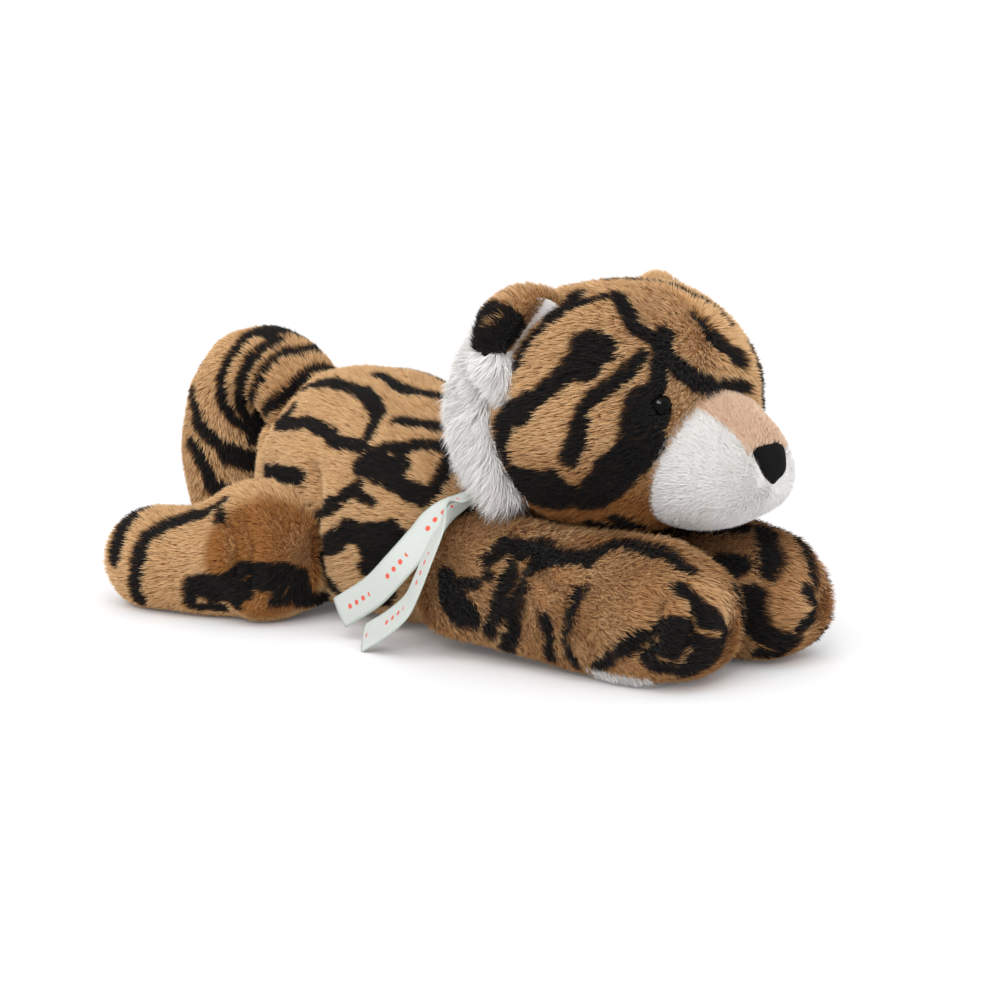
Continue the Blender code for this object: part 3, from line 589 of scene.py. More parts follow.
def noise(tree, scale, detail=2.0):
    """Noise over Object coordinates, in waves per metre."""
    place = node(tree, "ShaderNodeTexCoord")
    texture = node(tree, "ShaderNodeTexNoise")
    texture.inputs["Scale"].default_value = scale
    texture.inputs["Detail"].default_value = detail
    tree.links.new(place.outputs["Object"], texture.inputs["Vector"])
    return texture.outputs["Fac"]


print("node helpers:", [f.__name__ for f in (feed, mix_colour, maths, smooth, noise)])

# %% [markdown]
# The colour of the pile is one idea used in many places: a dark rust at the roots, which is
# painted shade deep in the pile, tan along the strand, pale at the tip, and black where a
# stripe runs, with a brown edge between. It could be a picture, but then no strand would
# shade from root to tip. So it is a node group that reads an attribute of the strands, with
# its colours as inputs.

# %% The pile's colour
COLOURS = ("Root", "Strand", "Tip", "Shade", "Stripe", "Stripe edge and fold shade")
VALUES = {"Stripe and fold shade": "Red", "Along": "Green", "Tone": "Blue"}


def pile_group():
    """Root to tip colours, the dark root being painted shade, times the shade of a tone, under
    the stripe and its edge, whose brown also paints the shade in folds.
    """
    group = bpy.data.node_groups.new("pile_colour", "ShaderNodeTree")
    sockets = (
        (COLOURS, "INPUT", "Color"), (VALUES, "INPUT", "Float"),
        (("Color",), "OUTPUT", "Color"), (("Roughness",), "OUTPUT", "Float"),
    )
    for names, way, kind in sockets:
        for name in names:
            group.interface.new_socket(name, in_out=way, socket_type="NodeSocket" + kind)
    take, result = node(group, "NodeGroupInput").outputs, node(group, "NodeGroupOutput").inputs
    low, high = smooth(group, take["Along"], 0.0, 0.45), smooth(group, take["Along"], 0.45, 1.0)
    strand = mix_colour(group, low, take["Root"], take["Strand"])
    strand = mix_colour(group, high, strand, take["Tip"])
    grain = maths(group, "MULTIPLY", take["Tone"], 0.27)
    clouds = maths(group, "MULTIPLY", noise(group, 55.0), 0.26)
    shade = mix_colour(group, maths(group, "ADD", grain, clouds), (1, 1, 1), take["Shade"])
    colour = mix_colour(group, 1.0, strand, shade, blend_type="MULTIPLY")
    # Painted shade: a fold's share in this channel, up to 0.45, gives mostly the stripe edge's
    # brown.
    edge = smooth(group, take["Stripe and fold shade"], 0.05, 0.55)
    stripe = smooth(group, take["Stripe and fold shade"], 0.40, 0.85)
    colour = mix_colour(group, edge, colour, take["Stripe edge and fold shade"])
    feed(group, result["Color"], mix_colour(group, stripe, colour, take["Stripe"]))
    rough = maths(group, "ADD", maths(group, "MULTIPLY", take["Along"], -0.16), 0.90)
    feed(group, result["Roughness"], rough)
    return group


PILE = pile_group()
print("nodes in the group:", len(PILE.nodes))

# %% [markdown]
# Three materials use the group: tan for the coat, white for the muzzle, ruffs, belly, soles
# and the ears' linings, and peach for the bridge of the nose. Each only sets the group's
# colours and its sheen, the soft light on the pile's edge.

# %% Pile materials
# The brown of a stripe's edge is also the painted shade in the folds.
STRIPE_BLACK, EDGE_AND_FOLD_SHADE_BROWN = (0.0075, 0.0062, 0.0058), (0.075, 0.033, 0.014)


def pile_material(name, root, strand, tip, shade, sheen):
    """The group, fed with these colours and with the attribute called pile."""
    material, tree, shader = new_material(name)
    group = node(tree, "ShaderNodeGroup", node_tree=PILE)
    for socket, value in zip(COLOURS, (root, strand, tip, shade, STRIPE_BLACK, EDGE_AND_FOLD_SHADE_BROWN)):
        feed(tree, group.inputs[socket], value)
    carried = node(tree, "ShaderNodeAttribute", attribute_name="pile")
    parts = node(tree, "ShaderNodeSeparateColor")
    feed(tree, parts.inputs["Color"], carried.outputs["Color"])
    for socket, channel in VALUES.items():
        feed(tree, group.inputs[socket], parts.outputs[channel])
    for socket, value in (
        ("Base Color", group.outputs["Color"]), ("Roughness", group.outputs["Roughness"]),
        ("Specular IOR Level", 0.22), ("Sheen Weight", sheen), ("Sheen Roughness", 0.45),
    ):
        feed(tree, shader.inputs[socket], value)
    return material


# root (dark, painted shade deep in the pile), strand, tip, the shade of a deep tone, and sheen
TAN = pile_material(
    "tan_pile", (0.30, 0.125, 0.042), (0.70, 0.415, 0.18), (0.88, 0.645, 0.375),
    (0.50, 0.315, 0.165), 0.06)
WHITE = pile_material(
    "white_pile", (0.84, 0.825, 0.81), (0.90, 0.885, 0.87), (0.93, 0.92, 0.91),
    (0.80, 0.78, 0.77), 0.08)
PEACH = pile_material(
    "peach_pile", (0.72, 0.48, 0.33), (0.78, 0.575, 0.42), (0.80, 0.62, 0.47),
    (0.84, 0.76, 0.70), 0.08)
print("pile materials:", TAN.name, WHITE.name, PEACH.name)

# %% [markdown]
# The plain finishes are the fibre of the fillings, the nose's velvet, the eyes' gloss, the
# washers' plastic and the cloth of the pellet pouch. Each is two close colours mixed by
# noise, because no real surface has one colour everywhere, and most have bumps from a
# second noise.

# %% Plain materials
def bump_from(tree, shader, height, distance):
    """Bumps from a grey value; distance is their height in metres."""
    bump = node(tree, "ShaderNodeBump")
    bump.inputs["Distance"].default_value = distance
    feed(tree, bump.inputs["Height"], height)
    feed(tree, shader.inputs["Normal"], bump.outputs["Normal"])


def speckled(name, grain, first, second, rough, bumps=None, height=0.001, **settings):
    """Two colours mixed by noise; grain and bumps are a noise's (scale, detail). A roughness
    of (scale, detail, share, least) is a noise too: share * noise + least."""
    material, tree, shader = new_material(name)
    colour = mix_colour(tree, noise(tree, *grain), first, second)
    if isinstance(rough, tuple):
        scale, detail, share, least = rough
        rough = maths(tree, "MULTIPLY", noise(tree, scale, detail), share)
        rough = maths(tree, "ADD", rough, least)
    for socket, value in {"Base Color": colour, "Roughness": rough, **settings}.items():
        feed(tree, shader.inputs[socket], value)
    if bumps:
        bump_from(tree, shader, noise(tree, *bumps), height)
    return material


FIBRE = speckled(
    "fibre_fill", (900, 6), (0.72, 0.72, 0.73), (0.92, 0.92, 0.93), 1.0, bumps=(700, 8))
VELVET = speckled(
    "black_velvet", (2600, 3), (0.0015, 0.0014, 0.0015), (0.008, 0.0075, 0.008), 0.95,
    bumps=(2200, 4), height=0.0003, **{"Specular IOR Level": 0.06, "Sheen Weight": 0.02})
GLOSS = speckled(
    "black_gloss", (300, 2), (0.0015, 0.0015, 0.0015), (0.004, 0.0035, 0.0035),
    (900, 5, 0.04, 0.02), **{"Specular IOR Level": 0.07})
PLASTIC = speckled(
    "white_plastic", (500, 2), (0.70, 0.70, 0.67), (0.80, 0.80, 0.77), (1500, 4, 0.2, 0.35))
PELLET_CLOTH = speckled(
    "pellet_cloth", (1200, 3), (0.52, 0.52, 0.50), (0.68, 0.68, 0.65), 0.9, bumps=(350, 1))
print("plain materials:", FIBRE.name, VELVET.name, GLOSS.name, PLASTIC.name, PELLET_CLOTH.name)

# %% [markdown]
# The black stripes are dyed into the pile. They were traced from the photograph, a
# few points each: first the tail, the body and the hind leg.

# %% Stripes of the tail, body and leg
# (width, x, y, x, y, ...) in pixels of the picture
TAIL_STRIPES = (
    (10, 274, 341, 258, 335, 249, 342, 238, 354, 231, 366, 225, 380, 224, 398, 231, 412, 242, 423,
     258, 432, 263, 435), (13, 270, 350, 261, 357, 252, 368, 247, 380, 245, 396),
    (9, 245, 396, 242, 405, 247, 416, 256, 428),
    (8, 295, 357, 281, 358, 270, 368, 263, 382, 258, 396, 256, 410, 256, 421, 261, 430),
    (9, 332, 369, 318, 373, 302, 382, 291, 393, 277, 405, 270, 414, 270, 426),
    (11, 195, 388, 198, 405, 201, 419, 210, 432, 224, 446), (20, 230, 451, 245, 458, 262, 456),
    (11, 194, 439, 201, 453, 208, 467, 212, 481), (14, 212, 483, 224, 486, 236, 488),
)
BODY_STRIPES = (
    (11, 311, 391, 325, 387, 339, 387, 352, 391, 366, 396), (15, 368, 396, 378, 407, 383, 418),
    (10, 383, 418, 378, 432, 371, 449),
    (11, 300, 409, 293, 419, 284, 426, 297, 426, 311, 426, 325, 430, 336, 437, 343, 446, 357, 446,
     366, 451), (13, 247, 485, 258, 472, 274, 471, 288, 474, 307, 478), (14, 280, 478, 289, 488),
    (9, 380, 380, 396, 387, 405, 396, 421, 398, 437, 400, 458, 407), (13, 398, 391, 416, 397),
    (10, 401, 426, 414, 426, 431, 430, 444, 432, 456, 432),
    (12, 364, 469, 373, 460, 389, 453, 408, 451, 426, 449, 458, 453),
    (26, 380, 467, 392, 472, 402, 471), (16, 385, 478, 403, 486, 417, 494, 430, 500),
    (12, 458, 458, 448, 480, 434, 498), (11, 320, 520, 330, 511, 341, 504, 355, 494, 364, 488),
    (8, 364, 494, 378, 504), (20, 330, 551, 343, 539, 355, 530, 371, 536, 387, 533, 398, 531),
    (24, 375, 548, 392, 545, 404, 540), (16, 326, 554, 330, 570, 340, 586),
    (14, 372, 568, 388, 560), (12, 385, 600, 398, 592), (20, 446, 578, 450, 602, 462, 616),
    (16, 438, 520, 458, 512, 470, 505), (22, 456, 598, 470, 613),
    (7, 484, 562, 486, 577, 472, 584, 457, 582),
)
LEG_STRIPES = (
    (20, 140, 514, 131, 525, 124, 540, 121, 556), (11, 138, 512, 160, 511, 180, 508),
    (10, 229, 504, 210, 515, 192, 520),
    (16, 196, 518, 173, 527, 157, 536, 148, 547, 144, 563, 141, 582, 141, 598),
    (7, 226, 513, 224, 524),
    (14, 194, 602, 196, 584, 215, 578, 238, 575, 247, 569, 265, 570, 284, 570, 302, 575),
    (22, 212, 589, 232, 592, 252, 586), (16, 256, 582, 280, 582), (12, 276, 598, 296, 592),
    (18, 229, 588, 238, 600), (16, 297, 577, 302, 595, 320, 602), (9, 199, 606, 229, 606),
)
print(len(TAIL_STRIPES + BODY_STRIPES + LEG_STRIPES), "strokes")

# %% [markdown]
# The head carries the finest stripes. Those of the cheek and round the eye are traced on
# the near side and mirrored later; those of the brow and the crown are traced on both.

# %% Stripes of the head
CHEEK_STRIPES = (
    (16, 582, 299, 575, 309, 560, 319), (13, 661, 364, 658, 385, 651, 398),
    (26, 646, 402, 658, 412), (20, 643, 410, 636, 424), (34, 648, 442, 634, 457, 618, 468),
    (24, 606, 480, 590, 498, 575, 520), (28, 592, 346, 606, 350), (22, 580, 363, 594, 368),
    (16, 575, 370, 562, 380, 548, 394, 533, 403), (22, 530, 408, 514, 418, 508, 434),
    (14, 507, 438, 512, 458),
    (11, 644, 358, 633, 369, 622, 380, 611, 389, 597, 398, 588, 407, 586, 421),
    (15, 584, 427, 582, 443, 575, 456), (44, 532, 486, 556, 490), (24, 526, 502, 556, 510),
    (14, 560, 474, 575, 486), (16, 556, 520, 575, 525), (8, 549, 329, 533, 345, 524, 365),
)
BROW_STRIPES = (
    (9, 577, 307, 593, 306, 611, 301, 622, 300),
    (11, 624, 302, 629, 311, 635, 325, 646, 334, 655, 340), (12, 667, 336, 664, 349),
    (16, 666, 352, 671, 360, 682, 371, 696, 380, 713, 387, 731, 385), (10, 731, 381, 741, 386),
    (8, 698, 322, 709, 336), (12, 709, 338, 722, 350, 737, 359),
    (10, 751, 367, 758, 385, 771, 403, 774, 418), (14, 625, 515, 644, 520, 661, 528),
    (12, 596, 518, 625, 521), (10, 606, 500, 622, 486, 634, 478),
)
CROWN_STRIPES = ((9, 615, 284, 644, 284, 669, 290, 691, 301, 709, 310, 722, 323),)
print(len(CHEEK_STRIPES + BROW_STRIPES + CROWN_STRIPES), "strokes on the head")

# %% [markdown]
# Both arms show in the photograph, so each has strokes of its own.

# %% Stripes of the arms
ARM_STRIPES = (
    (12, 486, 560, 496, 548, 508, 544, 523, 549, 540, 547),
    (11, 506, 577, 498, 594, 494, 611, 489, 630), (16, 516, 553, 529, 554, 542, 551),
    (14, 520, 558, 513, 568, 506, 580), (16, 507, 649, 512, 625, 515, 603),
    (14, 515, 603, 523, 582, 535, 567, 552, 558),
    (14, 552, 558, 566, 560, 586, 560, 600, 553, 617, 547), (16, 620, 547, 634, 550, 654, 555),
    (11, 654, 555, 668, 560, 685, 571), (9, 549, 655, 549, 635, 545, 616),
    (8, 583, 589, 574, 599, 569, 616, 566, 635, 569, 652, 576, 664),
    (10, 675, 589, 690, 596, 692, 604, 685, 611), (16, 700, 616, 712, 622, 721, 633),
    (12, 649, 630, 668, 625, 683, 628), (20, 714, 638, 711, 650, 700, 662, 683, 668),
    (13, 644, 655, 663, 666), (16, 668, 641, 688, 644, 700, 648), (10, 652, 644, 672, 652),
    (11, 637, 635, 620, 647, 605, 659, 595, 664),
)
FAR_ARM_STRIPES = (
    (19, 675, 526, 704, 531, 736, 531), (22, 717, 566, 735, 566),
    (17, 758, 533, 765, 550, 770, 562, 765, 570),
    (13, 763, 521, 780, 530, 795, 545, 804, 562, 808, 577),
    (14, 799, 589, 809, 601, 808, 616, 794, 628), (24, 735, 601, 748, 597),
    (26, 738, 614, 748, 621), (17, 756, 631, 773, 640, 788, 645), (15, 758, 651, 775, 653),
)
print(len(ARM_STRIPES), "strokes on the near arm,", len(FAR_ARM_STRIPES), "on the far one")

# %% [markdown]
# The strokes are cast on the skin, and the other side gets the same ones mirrored, because
# both halves of such a toy are cut from one pattern. The head is turned a little, so its
# strokes are mirrored across its own middle.

# %% Stripes on both sides
surfaces = tree_of(GRIDS.values())


def across_top(capsules, height=0.112, reach=0.0135, steps=7):
    """As both_sides, with strokes near the top of the tail's arch carried over it."""
    shares = np.linspace(0, 1, steps)[:, None, None]
    ends = (capsules[:, :3] * (1 - shares) + capsules[:, 3:6] * shares).reshape(-1, 3)
    width = np.tile(capsules[:, 6:], (steps, 1))
    near = (ends[:, 2] > height) & (np.abs(ends[:, 1]) < reach)
    over = np.hstack([ends, ends * [1, -1, 1], width])[near]
    return np.concatenate([both_sides(capsules), over])


def both_cheeks(capsules):
    """As both_sides, but turned over across the head's own middle."""
    ends = in_head(capsules[:, :6].reshape(-1, 3)) * [1, -1, 1]
    return np.concatenate([capsules, np.hstack([from_head(ends).reshape(-1, 6), capsules[:, 6:]])])


stripes_arm = trace(surfaces, ARM_STRIPES)
body_and_arm = np.concatenate([trace(surfaces, BODY_STRIPES + LEG_STRIPES), stripes_arm])
STRIPES = dict.fromkeys(("body", "leg_right", "leg_left", "arm_right"), both_sides(body_and_arm))
STRIPES["arm_left"] = np.concatenate([trace(surfaces, FAR_ARM_STRIPES), stripes_arm * OTHER_SIDE])
STRIPES["tail"] = across_top(trace(surfaces, TAIL_STRIPES))
cheeks = both_cheeks(trace(surfaces, CHEEK_STRIPES))
STRIPES["head"] = np.concatenate([cheeks, trace(surfaces, BROW_STRIPES + CROWN_STRIPES)])
print({name: len(capsules) for name, capsules in STRIPES.items()})

# %% [markdown]
# Neither side of the photograph shows the back of the head, the spine or the outside of the
# tail. A few bands are drawn there, as places on the grids, so that no part is left plain.

# %% Bands on the hidden sides
# (width in mm, row, column, row, column, ...) with rows and columns as shares of the grid
BEHIND = {
    "tail": (
        (6, 0.57, 0.66, 0.575, 0.74, 0.57, 0.82, 0.56, 0.9),
        (7, 0.66, 0.64, 0.67, 0.72, 0.675, 0.8, 0.665, 0.9),
        (6, 0.75, 0.64, 0.765, 0.72, 0.77, 0.8, 0.76, 0.88),
        (5, 0.84, 0.66, 0.85, 0.75, 0.845, 0.86),
    ),
    "head": (
        (7, 0.33, 0.12, 0.315, 0.18, 0.31, 0.25, 0.315, 0.32, 0.33, 0.38),
        (7, 0.255, 0.07, 0.235, 0.14, 0.225, 0.21), (7, 0.225, 0.29, 0.235, 0.36, 0.255, 0.43),
        (6, 0.16, 0.14, 0.155, 0.2, 0.15, 0.25, 0.155, 0.3, 0.16, 0.36),
    ),
    "body": (
        (8, 0.14, 0.13, 0.125, 0.19, 0.12, 0.25, 0.125, 0.31, 0.14, 0.37),
        (6, 0.66, 0.19, 0.65, 0.25, 0.66, 0.31),
    ),
    "leg_right": (
        (6, 0.6, 0.31, 0.62, 0.4, 0.6, 0.5), (5, 0.74, 0.31, 0.76, 0.4, 0.75, 0.52),
    ),
    "arm_right": (
        (7, 0.45, 0.17, 0.47, 0.1, 0.46, 0.02, 0.44, 0.94),
        (8, 0.6, 0.15, 0.62, 0.08, 0.61, 0.0, 0.59, 0.94),
        (6, 0.74, 0.12, 0.75, 0.06, 0.75, 0.0, 0.73, 0.94),
    ),
    "leg_left": (
        (6, 0.6, 0.19, 0.62, 0.1, 0.6, 0.0), (5, 0.74, 0.19, 0.76, 0.1, 0.75, 0.98),
    ),
}


def drawn_on(grid, strokes):
    """Capsules between points picked off a grid; a stroke's width is in millimetres."""
    rows, sides = grid.shape[:2]
    capsules = []
    for width, *numbers in strokes:
        places = zip(numbers[::2], numbers[1::2])
        spots = [grid[int(r * (rows - 1)), int(c * sides) % sides] for r, c in places]
        capsules += [[*a, *b, width / 2000] for a, b in zip(spots, spots[1:])]
    return np.array(capsules)


for name, strokes in BEHIND.items():
    STRIPES[name] = np.concatenate([STRIPES[name], drawn_on(GRIDS[name], strokes)])
    print(name, len(strokes), "bands added")

# %% [markdown]
# A stripe's edge is ragged, since the dyed strands lie unevenly. The distance to the
# nearest stroke is made rough with noise, and a smooth step turns it into a mask.

# %% Ragged edges
STRIPE_SWELL, STRIPE_EDGE = 0.0006, 0.0011


def striped(points, capsules):
    """0 to 1: a smooth step over the distance to the nearest stroke, made ragged by noise."""
    if capsules is None or len(capsules) == 0:
        return np.zeros(points.shape[:-1])
    edge = nearest(points, capsules) - STRIPE_SWELL
    edge = edge + ripple(points, 0.011, 11) * 0.0009 + ripple(points, 0.0036, 12) * 0.0005
    share = np.clip((STRIPE_EDGE - edge) / (2 * STRIPE_EDGE), 0, 1)
    return share * share * (3 - 2 * share)


black_share = striped(GRIDS["body"], STRIPES["body"]).mean()
print("black on the body:", round(100 * black_share), "%")

# %% [markdown]
# Under the pile is the woven backing of the plush. It shows between the strands, so it
# carries the pile's colours as an attribute of its points: red is the stripe, green the
# place along a strand and blue the tone. An attribute is chosen over a texture because it
# needs no flattened map. The cloth is the grid closed at its two poles.

# %% Cloth under the pile
def mesh_object(name, points, faces, material, smooth_faces=True):
    """An object made of points and faces, with one material."""
    mesh = bpy.data.meshes.new(name)
    mesh.from_pydata(points.tolist(), [], faces)
    mesh.materials.append(material)
    if smooth_faces:
        mesh.shade_smooth()
    return add_object(name, mesh)


def closed_faces(rows, sides):
    """Quads between the rows, and a fan at each pole; the poles are the last two points."""
    ring = np.arange(sides)
    after, last, pole = (ring + 1) % sides, (rows - 1) * sides, np.full(sides, rows * sides)
    start = np.stack([after, ring, pole], -1)
    end = np.stack([last + ring, last + after, pole + 1], -1)
    return quads_of(rows, sides).tolist() + start.tolist() + end.tolist()


def point_outwards(mesh):
    """Turn every face round if the closed mesh encloses a negative volume."""
    mesh.calc_loop_triangles()
    corners = np.empty(len(mesh.loop_triangles) * 3, np.int32)
    mesh.loop_triangles.foreach_get("vertices", corners)
    places = np.empty(len(mesh.vertices) * 3)
    mesh.vertices.foreach_get("co", places)
    a, b, c = places.reshape(-1, 3)[corners].reshape(-1, 3, 3).transpose(1, 0, 2)
    if np.sum(np.cross(a, b) * c) < 0:
        mesh.flip_normals()


def add_pile_attribute(mesh, values):
    """The stripe, the place along a strand and the tone, kept as a colour on each point."""
    layer = mesh.attributes.new("pile", "FLOAT_COLOR", "POINT")
    values = np.hstack([values, np.ones((len(values), 1))])
    layer.data.foreach_set("color", values.astype(np.float32).ravel())


print("cloth of the body:", len(closed_faces(*GRIDS["body"].shape[:2])), "faces")

# %% [markdown]
# A piece of cloth is then one call, and so is putting a finished piece in its place. Each
# piece rides one body of the imported model and stands for the imported parts that it covers.

# %% A piece of cloth, and its place
def cloth(name, grid, material, capsules=None, along=0.30):
    """A grid as a closed mesh, with the stripes and the tone on its points."""
    rows, sides = grid.shape[0] - 2, grid.shape[1]
    points = np.concatenate([grid[1:-1].reshape(-1, 3), grid[:1, 0], grid[-1:, 0]])
    obj = mesh_object(name, points, closed_faces(rows, sides), material)
    point_outwards(obj.data)
    tone = np.clip(0.5 + 0.5 * ripple(points, 0.02, 3), 0, 1)
    # Painted shade: along=0.30 gives the cloth a colour near the dark roots, as the shade between
    # the strands.
    values = [striped(points, capsules), np.full(len(points), along), tone]
    add_pile_attribute(obj.data, np.stack(values, -1))
    return obj


def put_on(piece, body, *nodes, give=None):
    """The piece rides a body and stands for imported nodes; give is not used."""
    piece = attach(piece, body)
    if give:
        piece = piece
    piece = piece
    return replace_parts(piece, *nodes) if nodes else piece



# %% [markdown]
# Long pile is what makes this toy look soft. Blender's hair could grow it, but a library
# part needs real meshes, so each strand is a small blade. Its root falls anywhere on the
# grid in proportion to area. Strands near one another belong to one tuft, as in real plush,
# where they cling together.

# %% Roots and tufts
LOWEST = 0.0003


def cell_areas(grid):
    """Half the length of the cross product of each cell's two diagonals."""
    after = np.roll(grid, -1, 1)
    cross = np.cross(after[1:] - grid[:-1], grid[1:] - after[:-1])
    return np.linalg.norm(cross, axis=-1) / 2


def sample(grid, count, rng, keep=None):
    """Roots spread over a grid in proportion to its area, with their cell and place in it."""
    area = cell_areas(grid)
    if keep is not None:
        area = area * keep[:-1]
    steps = np.cumsum(area.ravel())
    cell = np.searchsorted(steps, (np.arange(count) + rng.uniform(0, 1, count)) / count * steps[-1])
    cell = np.minimum(cell, area.size - 1)
    u, v = rng.uniform(0, 1, (count, 1)), rng.uniform(0, 1, (count, 1))
    return cell // grid.shape[1], cell % grid.shape[1], u, v


def between(values, row, column, u, v):
    """Bilinear value inside a cell."""
    after = (column + 1) % values.shape[1]
    low = values[row, column] * (1 - v) + values[row, after] * v
    high = values[row + 1, column] * (1 - v) + values[row + 1, after] * v
    return low * (1 - u) + high * u


def tuft_of(points, size, seed):
    """Number of the nearest scattered centre. Each cube of the given size holds one centre,
    and the 27 cubes round a point are searched."""
    cube = np.floor(points / size).astype(np.int64)
    best, found = np.full(len(points), 1e9), np.zeros(len(points), np.int64)
    for step in np.stack(np.meshgrid(*[[-1, 0, 1]] * 3, indexing="ij"), -1).reshape(-1, 3):
        here = cube + step
        code = here @ np.array([73856093, 19349663, 83492791]) + seed
        jitter = np.stack([np.sin(code * k) * 43758.5453 % 1 for k in (0.137, 0.291, 0.713)], -1)
        far = np.sum((points - (here + jitter) * size) ** 2, -1)
        found = np.where(far < best, code, found)
        best = np.minimum(best, far)
    return np.unique(found, return_inverse=True)[1]


for name in ("body", "head"):
    print(name, "skin:", round(cell_areas(GRIDS[name]).sum() * 1e4), "square cm")

# %% [markdown]
# A blade is two joined pieces that bend over and end in a point, three triangles in all. It
# leaves the cloth at a slant in the direction of the pile and bends over further, and the
# tips of a tuft are drawn together. Real hairs are finer, but the 600,000 blades that grow
# here are enough to hide the cloth.

# %% Blades
BLADE_WIDTH = 0.00046


def blades(
    name, root, normal, lay, length, material, capsules=None, width=BLADE_WIDTH, lift=0.90,
    tuft=0.0036, pull=0.26, droop=0.08, seed=1, deepen=None, wild=1.0,
):
    """Middle = root + half length along (lift * normal + lay), and tip = middle + half length
    bent further over. Both are drawn towards the mean of their tuft."""
    rng = np.random.default_rng(seed)
    count = len(root)
    shake = rng.normal(size=(count, 3)) * wild
    length = length * (1 + wild * rng.uniform(-0.25, 0.15, count))
    first = unit(normal * lift + lay * 0.60 + shake * 0.13)
    second = unit(normal * lift * 0.60 + lay * 0.85 + shake * 0.21 + [0, 0, -droop])
    middle = root + first * (length * 0.5)[:, None]
    tip = middle + second * (length * 0.55)[:, None]
    group = tuft_of(root, tuft, seed)
    total = np.bincount(group)[:, None]
    for points, share in ((middle, pull * 0.30), (tip, pull)):
        mean = np.stack([np.bincount(group, points[:, k]) for k in range(3)], -1) / total
        points += (mean[group] - points) * share
    half_width = width * rng.uniform(0.7, 1.2, count) / 2
    across = unit(np.cross(normal, first) + shake[:, ::-1] * 0.35) * half_width[:, None]
    narrower = across * 0.85
    corners = [root - across, root + across, middle + narrower, middle - narrower, tip]
    corners = np.stack(corners, 1)
    corners[..., 2] = np.maximum(corners[..., 2], LOWEST)
    mask = striped(root, capsules)
    mask = np.clip(mask + rng.normal(size=count) * 0.16 * (mask > 0.02), 0, 1)
    # Painted shade: strands within about 2 mm of a fold take up to 0.45 of the stripe's mask, which
    # mostly gives the edge's brown.
    if capsules is not None:
        in_fold = np.exp(-((np.maximum(nearest(root, folds), 0) / 0.0022) ** 2))
        mask = np.maximum(mask, 0.45 * in_fold)
    tone = rng.uniform(0, 1, group.max() + 1)[group] * 0.55 + rng.uniform(0, 0.45, count)
    if deepen is not None:
        tone += deepen(root)
    # Painted shade: the roots take the dark root colour, the shade deep in the pile.
    along = np.tile([0.0, 0.0, 0.55, 0.55, 1.0], (count, 1))
    values = [np.tile(mask[:, None], 5), along, np.tile(tone[:, None], 5)]
    return blade_mesh(name, corners, np.stack(values, -1), material)


print("a blade is about", BLADE_WIDTH * 1000, "mm wide")

# %% [markdown]
# A mesh of so many blades would be slow to build face by face, so its points, corners and
# faces are set as whole arrays. Each blade has its own little place on a map for baking.

# %% Mesh of the blades
def blade_mesh(name, corners, values, material):
    """Five points, a quad and a triangle for each blade, set as whole arrays."""
    count = len(corners)
    mesh = bpy.data.meshes.new(name)
    mesh.vertices.add(count * 5)
    mesh.vertices.foreach_set("co", corners.astype(np.float32).ravel())
    order = np.arange(count)[:, None] * 5 + np.array([0, 1, 2, 3, 3, 2, 4])
    mesh.loops.add(order.size)
    mesh.loops.foreach_set("vertex_index", order.astype(np.int32).ravel())
    mesh.polygons.add(count * 2)
    starts = np.arange(count)[:, None] * 7 + np.array([0, 4])
    mesh.polygons.foreach_set("loop_start", starts.astype(np.int32).ravel())
    mesh.update(calc_edges=True)
    add_pile_attribute(mesh, values.reshape(-1, 3))
    cells = math.ceil(math.sqrt(count))
    spot = np.stack([np.arange(count) % cells, np.arange(count) // cells], -1)[:, None, :]
    middle = [0.5, 0.9], [0.5, 0.1]
    shape = np.array([[0.08, 0.1], [0.08, 0.9], *middle, *middle[::-1], [0.94, 0.5]])
    layer = mesh.uv_layers.new(name="OFBake")
    layer.data.foreach_set("uv", ((spot + shape) / cells).astype(np.float32).ravel())
    mesh.materials.append(material)
    return add_object(name, mesh)

# %% [markdown]
# One call grows the pile of one bag: how dense and how long it is, which way it lies, where
# it is left out and where it is shorter. Large bags are grown in a right and a left piece,
# which keeps each mesh a handy size.

# %% Growing pile on a grid
SHORTEST = 0.0004
PATCH = 1.0
QUICK_WIDTH = 0.0009


def all_lie(way):
    """One direction for the whole pile."""
    return lambda points: np.tile(way, (len(points), 1))


def grow(
    name, grid, per_mm2, length, body, material, sign=1, capsules=None, keep=None, skip=None,
    lay=None, length_at=None, split=False, **looks,
):
    """Pile on a grid, in one piece or in a right and a left one."""
    along, normal = slopes(grid)
    rng = np.random.default_rng(len(name) * 7 + ord(name[0]))
    count = int(cell_areas(grid).sum() * 1e6 * per_mm2 * PATCH)
    spots = sample(grid, count, rng, keep)
    root, n = between(grid, *spots), unit(between(normal, *spots))
    way = between(along, *spots) * sign if lay is None else lay(root)
    way = unit(way - n * np.sum(way * n, -1, keepdims=True))
    size = np.full(count, length) if length_at is None else length * length_at(root, n)
    stay = size > SHORTEST
    if skip is not None:
        stay &= ~skip(root)
    parts = {name: stay}
    if split:
        on_right = root[:, 1] < 0
        parts = {name + "_right": stay & on_right, name + "_left": stay & ~on_right}
    if PATCH < 1:
        looks["width"] = QUICK_WIDTH
    for seed, (label, chosen) in enumerate(parts.items(), 3):
        placed = root[chosen], n[chosen], way[chosen], size[chosen]
        obj = put_on(blades(label, *placed, material, capsules, seed=seed, **looks), body)
        print(label, len(obj.data.polygons) // 2, "blades")


print("share of the pile that is grown:", PATCH)

# %% [markdown]
# The body gets its cloth, its filling and its pile. The real filling is loose fibre. It
# could be a cloud of hairs, but nobody sees it, so it is the same loft drawn in by a few
# millimetres. It starts from the body before its seats were pressed, with larger seats of
# its own, because drawing in the pressed body would cross the seats.

# %% Body and its filling
def fill(name, grid, body, node_name, depth=0.0048):
    """The form drawn in along its normals by depth, on every second row and side."""
    inner = grid - slopes(grid)[1] * depth
    return put_on(cloth(name, inner[::2, ::2], FIBRE), body, node_name, give=0.7)


